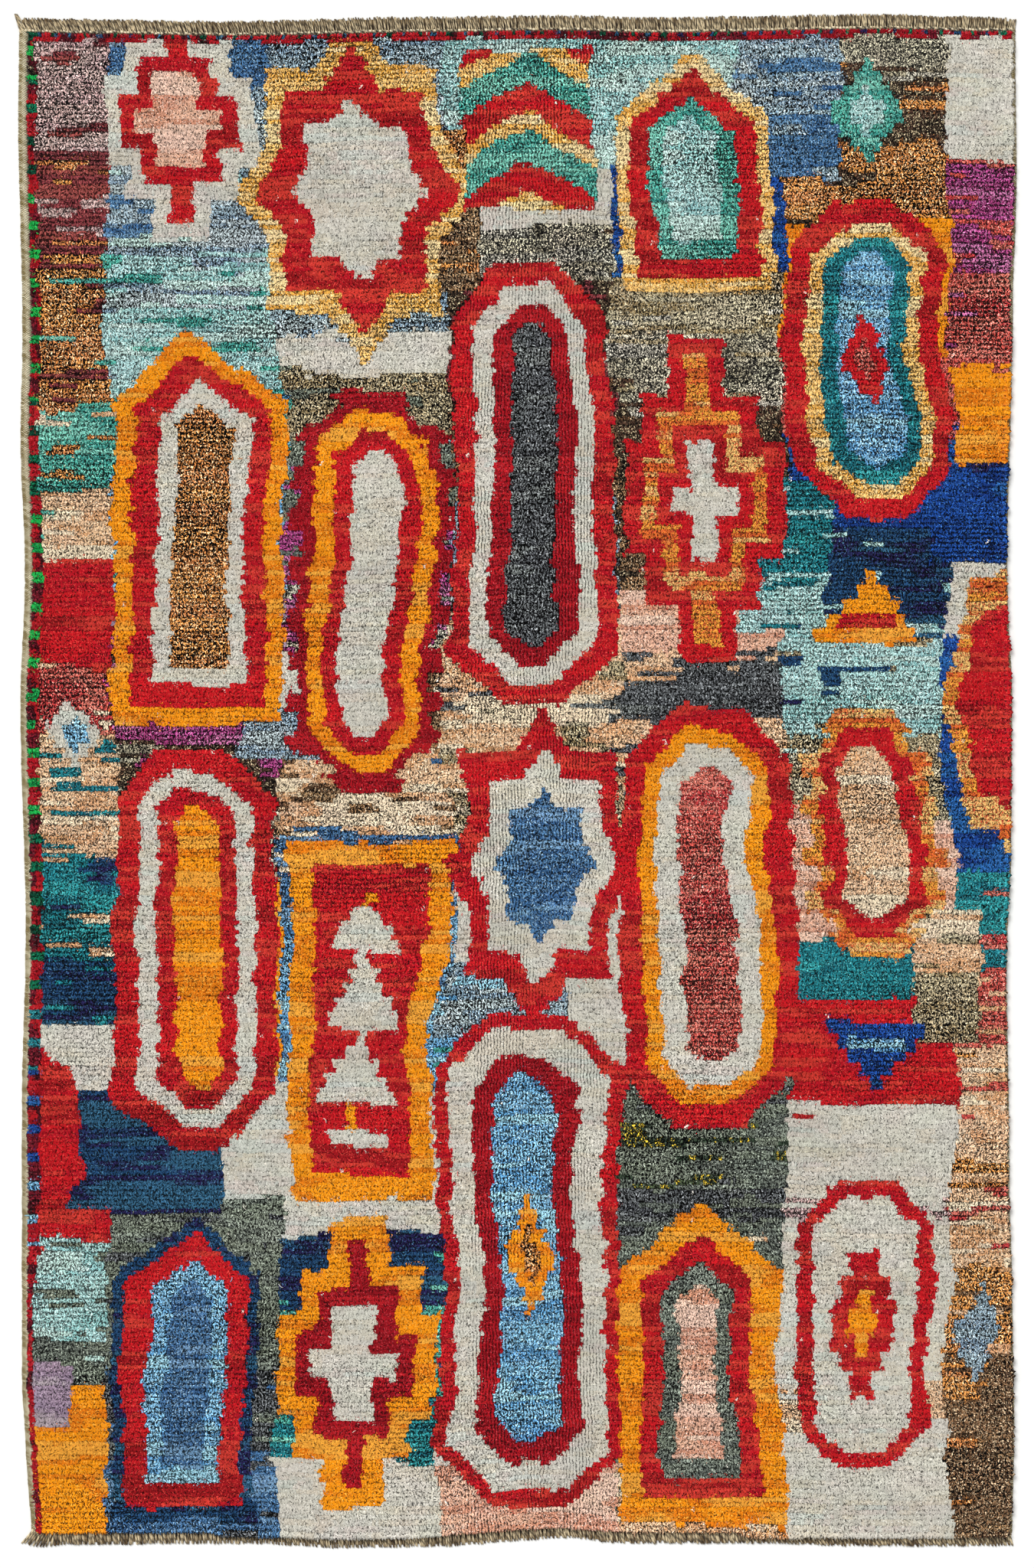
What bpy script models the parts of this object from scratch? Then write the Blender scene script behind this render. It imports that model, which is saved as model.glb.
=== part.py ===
"""Turkish rug: a hand-knotted wool rug with overcast sides and a short warp fringe, lying flat.

The rug lies on its back in the XY plane, its length along Y and its pile up. The origin is on the floor,
under the middle of the rug. Every piece is a closed solid that rests on the floor.
"""
import math
import random

import bmesh
import bpy
import numpy as np

# Driving dimensions, in metres.
LENGTH = 3.06  # from fringe tips to fringe tips, along Y
WIDTH = 1.99  # over both side cords at their widest, along X
PILE_HEIGHT = 0.016  # floor to the tips of the pile
RIM_HEIGHT = 0.009  # the pile's height where it rounds over at the rim
RIM_WIDTH = 0.010  # how far in from the rim the pile is at full height
SWELL = 0.0012  # how much the pile rises and dips over its area
GAP = 0.0003  # clearance between neighbouring pieces

SELVAGE_LEFT_WIDTH = 0.015
SELVAGE_RIGHT_WIDTH = 0.010
SELVAGE_HEIGHT = 0.009  # top of the cord
SELVAGE_FOOT = 0.0025  # height of the cord's straight sides

BAND_WIDTH = 0.0055  # the twined band that the fringe hangs from
BAND_HEIGHT = 0.0055
ROUNDED_FROM = 0.97  # from this share of the width on, only the fringe turns down to its rounded corner
FRINGE_LENGTH = 0.020  # from the band to the tips
STRANDS = 148  # strands at each end
STRAND_SHARE = 0.68  # a strand's width at its root, as a share of the pitch
STRAND_TIP_SHARE = 0.5  # and at its tip
STRAND_TIP_HEIGHT = 0.0025
STRAND_LEAN = 0.0025  # the most that a tip stands to one side of its root
STRAND_UNEVEN = 0.003  # the most that a tip falls short

ROWS = 46  # stations along the length
COLUMNS = 28  # stations across the pile
CORD_COLUMNS = 4  # stations across a side cord
SEED = 7

# How far each edge lies inside the widest line of the rug.
# Sides: share of the length from the bottom end, inset in millimetres.
LEFT_EDGE = (
    (0.00, 27.0),
    (0.05, 16.0),
    (0.10, 7.5),
    (0.28, 7.5),
    (0.40, 15.0),
    (0.55, 4.5),
    (0.64, 13.5),
    (0.73, 4.5),
    (0.80, 8.5),
    (0.95, 0.0),
    (1.00, 2.0),
)
RIGHT_EDGE = (
    (0.00, 9.5),
    (0.07, 4.5),
    (0.13, 7.5),
    (0.25, 15.0),
    (0.38, 20.0),
    (0.46, 10.5),
    (0.55, 9.0),
    (0.64, 18.5),
    (0.82, 7.5),
    (0.90, 0.0),
    (1.00, 2.5),
)
# Ends: share of the width from the left side, inset of the fringe tips in millimetres.
TOP_EDGE = (
    (0.00, 6.0),
    (0.05, 9.0),
    (0.22, 13.5),
    (0.42, 6.0),
    (0.55, 3.0),
    (0.64, 7.5),
    (0.87, 0.0),
    (0.97, 4.5),
    (1.00, 13.0),
)
BOTTOM_EDGE = (
    (0.00, 5.0),
    (0.04, 6.0),
    (0.22, 9.0),
    (0.32, 0.0),
    (0.41, 1.5),
    (0.55, 17.0),
    (0.60, 7.5),
    (0.73, 7.5),
    (0.83, 1.5),
    (1.00, 1.5),
)

# Loose locks at the corners, in place of the outermost strands of an end, counted from the left:
# end (1 top, -1 bottom), strand number, how far its tip stands out sideways and beyond the fringe line.
CORNER_LOCKS = (
    (1, 0, -0.016, 0.010),
    (-1, 0, -0.024, -0.002),
    (-1, 1, -0.021, 0.003),
    (-1, 2, -0.016, 0.005),
    (-1, 3, -0.009, 0.002),
)

MATERIALS = {
    "pile": ((0.46, 0.02, 0.025, 1.0), 0.95),
    "selvage_left": ((0.40, 0.31, 0.18, 1.0), 0.9),
    "selvage_right": ((0.40, 0.31, 0.18, 1.0), 0.9),
    "fringe_top": ((0.32, 0.26, 0.16, 1.0), 0.9),
    "fringe_bottom": ((0.32, 0.26, 0.16, 1.0), 0.9),
}


def clear_scene():
    """Remove every object that the open file holds."""
    for obj in list(bpy.data.objects):
        bpy.data.objects.remove(obj, do_unlink=True)


def mix(a, b, share):
    """The value that lies a share of the way from a to b."""
    return a + (b - a) * share


def eased(table, share):
    """Read a table of (share, millimetres) rows along a smooth curve, in metres."""
    for (s0, v0), (s1, v1) in zip(table, table[1:]):
        if share <= s1:
            ease = 0.5 - 0.5 * math.cos(math.pi * (share - s0) / (s1 - s0))
            return mix(v0, v1, ease) / 1000
    return table[-1][1] / 1000


def side_x(side, t):
    """X of a side's outer edge (side -1 left, 1 right) at a share t of the length."""
    table = RIGHT_EDGE if side > 0 else LEFT_EDGE
    return side * (WIDTH / 2 - eased(table, t))


def tip_y(end, s):
    """Y of the fringe tips (end -1 bottom, 1 top) at a share s of the width."""
    table = TOP_EDGE if end > 0 else BOTTOM_EDGE
    return end * (LENGTH / 2 - eased(table, s))


def stations(count, inner):
    """Shares from 0 to 1 with the first and last step shortened to a share of the whole."""
    middle = [mix(inner, 1 - inner, i / (count - 2)) for i in range(count - 1)]
    return [0.0] + middle + [1.0]


ROW_SHARES = stations(ROWS, RIM_WIDTH / LENGTH)
COLUMN_SHARES = stations(COLUMNS, RIM_WIDTH / WIDTH)


def pile_span(t):
    """X of the pile's left and right edge at a share t of the length."""
    return side_x(-1, t) + SELVAGE_LEFT_WIDTH + GAP, side_x(1, t) - SELVAGE_RIGHT_WIDTH - GAP


def woven_end_y(end, x):
    """Y where the pile and the side cords end, as straight runs between the pile's columns."""
    left, right = pile_span((end + 1) / 2)
    reach = FRINGE_LENGTH + BAND_WIDTH + GAP
    xs = [mix(left, right, u) for u in COLUMN_SHARES]
    ys = [tip_y(end, min((x0 + WIDTH / 2) / WIDTH, ROUNDED_FROM)) - end * reach for x0 in xs]
    return float(np.interp(x, xs, ys))


def finish_piece(name, bm, collection):
    """Turn a bmesh into a named object with its own material."""
    bmesh.ops.recalc_face_normals(bm, faces=bm.faces[:])
    mesh = bpy.data.meshes.new(name)
    bm.to_mesh(mesh)
    bm.free()
    mesh.shade_smooth()
    mesh.set_sharp_from_angle(angle=math.radians(35))
    material = bpy.data.materials.new(name)
    material.use_nodes = True
    colour, roughness = MATERIALS[name]
    shader = material.node_tree.nodes["Principled BSDF"]
    shader.inputs["Base Color"].default_value = colour
    shader.inputs["Roughness"].default_value = roughness
    shader.inputs["Metallic"].default_value = 0.0
    mesh.materials.append(material)
    piece = bpy.data.objects.new(name, mesh)
    collection.objects.link(piece)
    return piece


def slab(name, column_shares, place, height, collection):
    """A mat on the floor: a grid, shaped by place(u, t), raised to height(u, t) over a flat underside."""
    bm = bmesh.new()
    nx, ny = len(column_shares) - 1, len(ROW_SHARES) - 1
    bmesh.ops.create_grid(bm, x_segments=nx, y_segments=ny, size=0.5)
    shares = {}
    for v in bm.verts:
        u = column_shares[round((v.co.x + 0.5) * nx)]
        t = ROW_SHARES[round((v.co.y + 0.5) * ny)]
        v.co.x, v.co.y = place(u, t)
        v.co.z = 0.0
        shares[v.co.x, v.co.y] = (u, t)
    underside = bm.faces[:]
    raised = bmesh.ops.extrude_face_region(bm, geom=underside, use_keep_orig=True)["geom"]
    for v in raised:
        if isinstance(v, bmesh.types.BMVert):
            v.co.z = height(*shares[v.co.x, v.co.y])
    bmesh.ops.dissolve_faces(bm, faces=underside, use_verts=False)
    return finish_piece(name, bm, collection)


def build_pile(collection):
    """The knotted field: one mat with a rounded rim and a slightly uneven top."""

    def place(u, t):
        x = mix(*pile_span(t), u)
        return x, mix(woven_end_y(-1, x), woven_end_y(1, x), t)

    def height(u, t):
        if u in (0.0, 1.0) or t in (0.0, 1.0):
            return RIM_HEIGHT
        x, y = place(u, t)
        swell = math.sin(3.1 * x + 1.7 * y) + math.sin(5.3 * y - 2.2 * x + 1.0) + math.sin(7.9 * x + 0.6)
        return PILE_HEIGHT - SWELL + SWELL * swell / 3

    return slab("pile", COLUMN_SHARES, place, height, collection)


def build_selvage(name, side, width, collection):
    """A flat side cord: an arched strip along the wavy edge of the rug."""
    shares = [i / CORD_COLUMNS for i in range(CORD_COLUMNS + 1)]

    def place(u, t):
        outer = side_x(side, t)
        inner = outer - side * width
        x = mix(outer, inner, u) if side < 0 else mix(inner, outer, u)
        return x, mix(woven_end_y(-1, x), woven_end_y(1, x), t)

    def height(u, t):
        return SELVAGE_FOOT + (SELVAGE_HEIGHT - SELVAGE_FOOT) * math.sin(math.pi * u)

    return slab(name, shares, place, height, collection)


def build_fringe(name, end, collection):
    """An end band with its strands: alternate cells of the band grow outwards into strands."""
    rng = random.Random(SEED + end)
    locks = {number: (out, beyond) for which, number, out, beyond in CORNER_LOCKS if which == end}
    corner_t = (end + 1) / 2
    left, right = side_x(-1, corner_t), side_x(1, corner_t)
    pitch = (right - left) / STRANDS
    margin = pitch * (1 - STRAND_SHARE) / 2

    xs = [left]
    for i in range(STRANDS):
        xs += [left + i * pitch + margin, left + (i + 1) * pitch - margin]
    xs.append(right)

    bm = bmesh.new()
    cells = len(xs) - 1
    bmesh.ops.create_grid(bm, x_segments=cells, y_segments=1, size=0.5)
    number = {v: round((v.co.x + 0.5) * cells) for v in bm.verts}
    outer = {v for v in bm.verts if v.co.y * end > 0}
    for v, i in number.items():
        reach = GAP + (BAND_WIDTH if v in outer else 0.0)
        v.co = (xs[i], woven_end_y(end, xs[i]) + end * reach, 0.0)
    roots = []
    for edge in bm.edges:
        a, b = sorted(number[v] for v in edge.verts)
        if outer.issuperset(edge.verts) and b == a + 1 and a % 2 == 1:
            roots.append(edge)

    grown = bmesh.ops.extrude_edge_only(bm, edges=roots)["geom"]
    tip_verts = sorted((v for v in grown if isinstance(v, bmesh.types.BMVert)), key=lambda v: v.co.x)
    tips = set()  # where the tips lie, by which their raised copies are known below
    for i in range(STRANDS):
        a, b = tip_verts[2 * i : 2 * i + 2]
        middle = (a.co.x + b.co.x) / 2
        any_tip = (rng.uniform(-STRAND_LEAN, STRAND_LEAN), -rng.uniform(0, STRAND_UNEVEN))
        out, beyond = locks.get(i, any_tip)
        y = tip_y(end, (middle + WIDTH / 2) / WIDTH) + end * beyond
        a.co = (middle + out - STRAND_TIP_SHARE * pitch / 2, y, 0.0)
        b.co = (middle + out + STRAND_TIP_SHARE * pitch / 2, y, 0.0)
        tips |= {(v.co.x, v.co.y) for v in (a, b)}

    raised = bmesh.ops.extrude_face_region(bm, geom=bm.faces[:], use_keep_orig=True)["geom"]
    for v in raised:
        if isinstance(v, bmesh.types.BMVert):
            v.co.z = STRAND_TIP_HEIGHT if (v.co.x, v.co.y) in tips else BAND_HEIGHT
    return finish_piece(name, bm, collection)


def centre_on_origin(pieces):
    """Slide the whole rug so that the middle of its box stands over the origin."""
    for axis in (0, 1):
        reach = [v.co[axis] for piece in pieces for v in piece.data.vertices]
        shift = (min(reach) + max(reach)) / 2
        for piece in pieces:
            for v in piece.data.vertices:
                v.co[axis] -= shift


def main():
    """Build the rug in a collection of its own."""
    clear_scene()
    collection = bpy.data.collections.new("turkish_rug")
    bpy.context.scene.collection.children.link(collection)
    pieces = [
        build_pile(collection),
        build_selvage("selvage_left", -1, SELVAGE_LEFT_WIDTH, collection),
        build_selvage("selvage_right", 1, SELVAGE_RIGHT_WIDTH, collection),
        build_fringe("fringe_top", 1, collection),
        build_fringe("fringe_bottom", -1, collection),
    ]
    centre_on_origin(pieces)


main()
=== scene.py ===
"""Turkish rug: a hand-knotted wool rug with overcast sides and a short warp fringe, dressed over its CAD.

The rug lies in the XY plane with its length along Y and its pile up. Lengths are in metres, unless a name
or comment says otherwise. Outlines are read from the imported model, so every piece follows it.
"""
import enum
import logging
import math
from dataclasses import dataclass, field
from typing import Any, ClassVar, Sequence

import bpy
import numpy as np
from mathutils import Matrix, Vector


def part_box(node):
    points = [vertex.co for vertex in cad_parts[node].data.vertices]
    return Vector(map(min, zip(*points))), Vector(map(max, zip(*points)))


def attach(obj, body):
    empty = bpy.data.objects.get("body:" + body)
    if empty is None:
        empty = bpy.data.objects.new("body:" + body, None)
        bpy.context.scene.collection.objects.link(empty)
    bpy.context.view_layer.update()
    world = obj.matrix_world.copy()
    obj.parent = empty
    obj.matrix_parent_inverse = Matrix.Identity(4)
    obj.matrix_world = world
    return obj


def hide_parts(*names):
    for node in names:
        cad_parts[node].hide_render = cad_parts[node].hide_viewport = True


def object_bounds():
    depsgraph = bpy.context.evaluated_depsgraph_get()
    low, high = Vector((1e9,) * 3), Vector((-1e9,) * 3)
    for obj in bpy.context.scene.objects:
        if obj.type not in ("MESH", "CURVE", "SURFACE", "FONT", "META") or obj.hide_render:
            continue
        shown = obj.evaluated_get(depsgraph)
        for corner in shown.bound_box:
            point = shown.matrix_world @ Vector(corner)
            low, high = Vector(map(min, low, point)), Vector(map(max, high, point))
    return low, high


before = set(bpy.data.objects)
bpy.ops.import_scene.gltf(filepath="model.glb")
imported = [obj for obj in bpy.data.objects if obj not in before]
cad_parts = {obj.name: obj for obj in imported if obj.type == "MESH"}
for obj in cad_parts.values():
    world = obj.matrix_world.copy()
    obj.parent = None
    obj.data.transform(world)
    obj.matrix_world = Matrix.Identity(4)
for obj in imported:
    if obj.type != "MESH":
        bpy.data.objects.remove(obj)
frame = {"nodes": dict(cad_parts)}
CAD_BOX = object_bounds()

LOG = logging.getLogger("turkish_rug")
Array = np.ndarray
MM = 0.001
ROW = 0.0095  # from one row of knots to the next


# --------------------------------------------------------------------------- small helpers


def linear(hex_code: str) -> tuple[float, float, float]:
    """Turn an sRGB hex colour into the linear values that shaders take.

    Args:
        hex_code: a colour such as "#B32125".

    Returns:
        Linear red, green and blue, each from 0 to 1.
    """
    values = []
    for start in (1, 3, 5):
        c = int(hex_code[start : start + 2], 16) / 255
        values.append(c / 12.92 if c <= 0.04045 else ((c + 0.055) / 1.055) ** 2.4)
    return tuple(values)


def set_inputs(tree: bpy.types.NodeTree, node: bpy.types.Node, inputs: dict[str | int, Any]) -> None:
    """Give a node's inputs their values and links.

    Args:
        tree: the material's node tree.
        node: the node.
        inputs: what each input gets, by name or number: a node or one of its sockets to link, or a value.
    """
    for key, value in inputs.items():
        if isinstance(value, bpy.types.Node):
            value = value.outputs[0]
        if isinstance(value, bpy.types.NodeSocket):
            tree.links.new(value, node.inputs[key])
        else:
            node.inputs[key].default_value = value


def add_node(tree: bpy.types.NodeTree, kind: str, inputs: dict[str | int, Any], **settings: Any) -> Any:
    """Add one node with its settings, values and links.

    Args:
        tree: the material's node tree.
        kind: the node's type name, without the ShaderNode that starts it.
        inputs: what each input gets, as for set_inputs.
        settings: the node's own properties.

    Returns:
        The new node.
    """
    node = tree.nodes.new(f"ShaderNode{kind}")
    for name, value in settings.items():
        setattr(node, name, value)
    set_inputs(tree, node, inputs)
    return node


def new_material(name: str) -> tuple[bpy.types.Material, bpy.types.NodeTree, bpy.types.Node]:
    """Make a material.

    Args:
        name: the material's name.

    Returns:
        The material, its node tree and its shader.
    """
    material = bpy.data.materials.new(name)
    material.use_nodes = True
    return material, material.node_tree, material.node_tree.nodes["Principled BSDF"]


def patches(x: Array, y: Array, across: float, along: float, seed: int) -> Array:
    """Smooth random values over the plane, a new one about every patch.

    Args:
        x: X of each point.
        y: Y of each point, with the same shape.
        across: a patch's size along X.
        along: a patch's size along Y.
        seed: which set of values.

    Returns:
        Values from 0 to 1.
    """
    table = np.random.default_rng(seed).random((256, 256))
    u, v = x / across + 0.37 * seed, y / along + 0.61 * seed
    u0, v0 = np.floor(u).astype(int), np.floor(v).astype(int)
    fu, fv = u - u0, v - v0
    fu, fv = fu * fu * (3 - 2 * fu), fv * fv * (3 - 2 * fv)
    rows, columns = (v0 % 256, (v0 + 1) % 256), (u0 % 256, (u0 + 1) % 256)
    low = table[rows[0], columns[0]] * (1 - fu) + table[rows[0], columns[1]] * fu
    high = table[rows[1], columns[0]] * (1 - fu) + table[rows[1], columns[1]] * fu
    return low * (1 - fv) + high * fv


def ranked(values: Array) -> Array:
    """Spread values evenly from 0 to 1 and keep their order."""
    order = np.empty(values.size)
    order[np.argsort(values, axis=None, kind="stable")] = np.arange(values.size)
    return (order / max(values.size - 1, 1)).reshape(values.shape)


def mesh_object(name: str, points: Array, quads: Array, smooth: bool = True) -> bpy.types.Object:
    """Make an object from points and four-sided faces.

    Args:
        name: the object's name.
        points: N by 3 places.
        quads: M by 4 point numbers.
        smooth: whether its faces are shaded smooth.

    Returns:
        The new object, linked to the scene.
    """
    mesh = bpy.data.meshes.new(name)
    mesh.from_pydata(points.reshape(-1, 3), [], quads.reshape(-1, 4))
    if smooth:
        mesh.shade_smooth()
    obj = bpy.data.objects.new(name, mesh)
    bpy.context.scene.collection.objects.link(obj)
    return obj


def grid_quads(rows: int, columns: int) -> Array:
    """Point numbers of each quad of a grid of points, row by row."""
    corner = np.arange(rows - 1)[:, None] * columns + np.arange(columns - 1)[None, :]
    return np.stack([corner, corner + 1, corner + columns + 1, corner + columns], -1)


def give_colour(obj: bpy.types.Object, name: str, colours: Array) -> None:
    """Store a linear colour and a fourth value on every face under a name."""
    layer = obj.data.attributes.new(name, "FLOAT_COLOR", "FACE")
    layer.data.foreach_set("color", np.ascontiguousarray(colours, np.float32).ravel())


def give_value(obj: bpy.types.Object, name: str, values: Array, domain: str = "POINT") -> None:
    """Store one number on every point or face under a name."""
    layer = obj.data.attributes.new(name, "FLOAT", domain)
    layer.data.foreach_set("value", np.ascontiguousarray(values, np.float32).ravel())


def give_map(obj: bpy.types.Object, name: str, places: Array) -> None:
    """Store a flat map with a place for every face corner under a name."""
    layer = obj.data.uv_layers.new(name=name)
    layer.uv.foreach_set("vector", np.ascontiguousarray(places, np.float32).ravel())


# --------------------------------------------------------------------------- dyes


@dataclass(frozen=True)
class Yarn:
    """One batch of hand-dyed pile wool.

    Attributes:
        lots: the sRGB hex of each dye lot, with its share of the batch.
        ply: a second colour that turns up strand by strand, and its share of the strands.
        gaps: how open its strands lie, from 0 for a closed face to 1 for wide gaps, which the shader
            darkens with painted shade.
        rows: how much painted shade darkens the furrows between its rows, from 0 to 1.
    """

    lots: tuple[tuple[str, float], ...]
    ply: tuple[str, float] = ("#FFFFFF", 0.0)
    gaps: float = 0.35
    rows: float = 0.45


class Wool(enum.Enum):
    """The pile's wools, by what a weaver would call them: dye lots, other ply, gaps and rows."""

    MADDER = Yarn(
        (("#C0161F", 0.36), ("#AE1120", 0.26), ("#C7362C", 0.27), ("#99131A", 0.11)),
        ("#DE463E", 0.12),
        0.18,
        0.44,
    )
    IVORY = Yarn(
        (("#CDC9BC", 0.50), ("#CCC4B3", 0.18), ("#C4C1B5", 0.16), ("#CBC2B7", 0.08), ("#C6C8BE", 0.08)),
        ("#E6E3D8", 0.08),
        0.13,
        0.30,
    )
    MARIGOLD = Yarn(
        (("#F29312", 0.54), ("#E07A12", 0.32), ("#EA9F38", 0.14)), ("#FBB444", 0.12), 0.14, 0.46
    )
    STRAW = Yarn((("#EAB96C", 0.5), ("#DCA046", 0.3), ("#E6CA94", 0.2)), ("#F3D99F", 0.16), 0.36, 0.50)
    SLATE = Yarn((("#6C7365", 0.68), ("#5A6059", 0.2), ("#7C8478", 0.12)), ("#98A092", 0.18), 0.58, 0.26)
    CHARCOAL = Yarn((("#585B5D", 0.6), ("#484A4D", 0.25), ("#6C706E", 0.15)), ("#94989A", 0.16), 0.69, 0.26)
    KHAKI = Yarn((("#9E8F70", 0.5), ("#8C7957", 0.3), ("#ACA186", 0.2)), ("#CFC4A6", 0.20), 0.64, 0.26)
    WALNUT = Yarn((("#70533A", 0.4), ("#573F2C", 0.25), ("#8A6A4A", 0.35)), ("#C0A888", 0.24), 0.66, 0.26)
    TOFFEE = Yarn((("#CB8847", 0.45), ("#AC6C37", 0.35), ("#C07A46", 0.2)), ("#F4D0A0", 0.22), 0.68, 0.34)
    SAND = Yarn((("#D2AC88", 0.42), ("#C6956B", 0.3), ("#D8C5A8", 0.28)), ("#EAD6BA", 0.12), 0.45, 0.28)
    SALMON = Yarn((("#D6A68C", 0.4), ("#C58A70", 0.3), ("#DAB7A2", 0.3)), ("#EAC9B8", 0.12), 0.36, 0.28)
    ROSEWOOD = Yarn((("#7C3539", 0.5), ("#6A3034", 0.3), ("#8F4440", 0.2)), ("#A85B56", 0.10), 0.48, 0.78)
    MAUVE = Yarn((("#B39590", 0.60), ("#AA8B8A", 0.25), ("#B89D97", 0.15)), ("#E0CCC6", 0.16), 0.56, 0.45)
    FUCHSIA = Yarn((("#A64580", 0.5), ("#8E3566", 0.3), ("#B26590", 0.2)), ("#CE8DB4", 0.12), 0.58, 0.40)
    CORAL = Yarn((("#B94B43", 0.45), ("#C26658", 0.3), ("#A93636", 0.25)), ("#E8A090", 0.18), 0.50, 0.46)
    CRIMSON = Yarn((("#9E101C", 0.5), ("#8A0D18", 0.3), ("#AC1820", 0.2)), ("#C23A42", 0.12), 0.20, 0.44)
    SKY = Yarn((("#76A9C8", 0.45), ("#558CB6", 0.35), ("#8CBACA", 0.2)), ("#B4D8E5", 0.14), 0.56, 0.30)
    DENIM = Yarn((("#456C93", 0.45), ("#375C85", 0.35), ("#6488A8", 0.2)), ("#8BABC2", 0.13), 0.46, 0.36)
    ROYAL = Yarn((("#1B4590", 0.5), ("#153577", 0.35), ("#265C9B", 0.15)), ("#4579B8", 0.08), 0.42, 0.50)
    NAVY = Yarn((("#1D3F63", 0.4), ("#221F4A", 0.4), ("#2B5470", 0.2)), ("#44708C", 0.10), 0.46, 0.44)
    TEAL = Yarn((("#1E757F", 0.45), ("#185F6B", 0.35), ("#2A888C", 0.2)), ("#58AEB0", 0.12), 0.48, 0.40)
    JADE = Yarn((("#4B9F90", 0.45), ("#37877D", 0.35), ("#6CB2A1", 0.2)), ("#93D0BE", 0.16), 0.50, 0.40)
    AQUA = Yarn((("#9DC3C0", 0.5), ("#86B5B3", 0.3), ("#B0CBC3", 0.2)), ("#D0E6E0", 0.16), 0.46, 0.40)
    STEEL = Yarn((("#889DA7", 0.45), ("#72899B", 0.3), ("#9FACAE", 0.25)), ("#C4D0D2", 0.18), 0.60, 0.26)
    EMERALD = Yarn((("#0B6446", 0.6), ("#083F2C", 0.4)), ("#2A8A5A", 0.08), 0.40)
    GARNET = Yarn((("#6A1422", 0.5), ("#481019", 0.5)), ("#96303C", 0.10), 0.36, 0.5)
    LEAF = Yarn((("#1AA346", 0.7), ("#128841", 0.3)), ("#46BE63", 0.12), 0.28)
    EMBER = Yarn((("#DF973A", 0.36), ("#D0682B", 0.36), ("#DFB36C", 0.28)), ("#B93F2A", 0.28), 0.32)
    PEPPER = Yarn((("#C5BDA5", 0.4), ("#9F967F", 0.3), ("#B5AFA0", 0.3)), ("#2C2A28", 0.46), 0.62, 0.26)
    BARK = Yarn((("#4A3529", 0.5), ("#33281F", 0.5)), ("#BBAA88", 0.26), 0.64, 0.26)
    BRIAR = Yarn((("#2F3B2E", 0.6), ("#46523A", 0.4)), ("#D9B735", 0.34), 0.58, 0.26)
    LILAC = Yarn((("#9C8699", 0.6), ("#8F7B8E", 0.25), ("#A89AA0", 0.15)), ("#B8A6B4", 0.10), 0.24, 0.45)


WOOLS = tuple(Wool)
NUMBER = {wool: number for number, wool in enumerate(WOOLS)}
Bands = tuple[tuple[Wool, float], ...]


# --------------------------------------------------------------------------- where the rug's edges lie


class Side(enum.Enum):
    """A long side of the rug, with its direction along X."""

    LEFT = -1
    RIGHT = 1


class End(enum.Enum):
    """A short end of the rug, with its direction along Y."""

    BOTTOM = -1
    TOP = 1


# How far the outer tufts lie out over each edge of the CAD pile: places along it, and distances there.
OVERHANG: dict[Side | End, tuple[tuple[float, ...], tuple[float, ...]]] = {
    Side.LEFT: (
        (-1.50, -1.35, -0.80, -0.34, 0.30, 0.80),
        (0.0080, 0.0055, 0.0043, 0.0056, 0.0020, -0.0020),
    ),
    Side.RIGHT: ((0.75, 1.00), (0.0098, 0.0065)),
    End.TOP: ((0.0,), (-0.0030,)),
    End.BOTTOM: (
        (-0.85, -0.61, -0.58, -0.49, -0.47, -0.20, -0.12, 0.44, 0.465, 0.56, 0.585, 0.88, 0.92),
        (0.0026, 0.0046, 0.0130, 0.0130, 0.0100, 0.0085, 0.0020)
        + (0.0026, 0.0140, 0.0140, 0.0090, 0.0085, 0.0060),
    ),
}


def overhang(edge: Side | End, where: Array) -> Array:
    """How far the outer tufts lie out over an edge: a side at each Y, or an end at each X."""
    return np.interp(where, *OVERHANG[edge])


def spots(obj: bpy.types.Object) -> Array:
    """List the places of a mesh's points, each one once.

    Args:
        obj: the object.

    Returns:
        N by 3 places.
    """
    places = np.empty(len(obj.data.vertices) * 3, np.float32)
    obj.data.vertices.foreach_get("co", places)
    return np.unique(places.reshape(-1, 3).round(6), axis=0).astype(float)


@dataclass
class Edge:
    """One edge of the rug in plan.

    Attributes:
        along: places along it, rising.
        out: X of a side or Y of an end at each of them.
    """

    along: Array
    out: Array

    def at(self, where: Array) -> Array:
        """How far out the edge lies at these places along it."""
        return np.interp(where, self.along, self.out)


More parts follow.
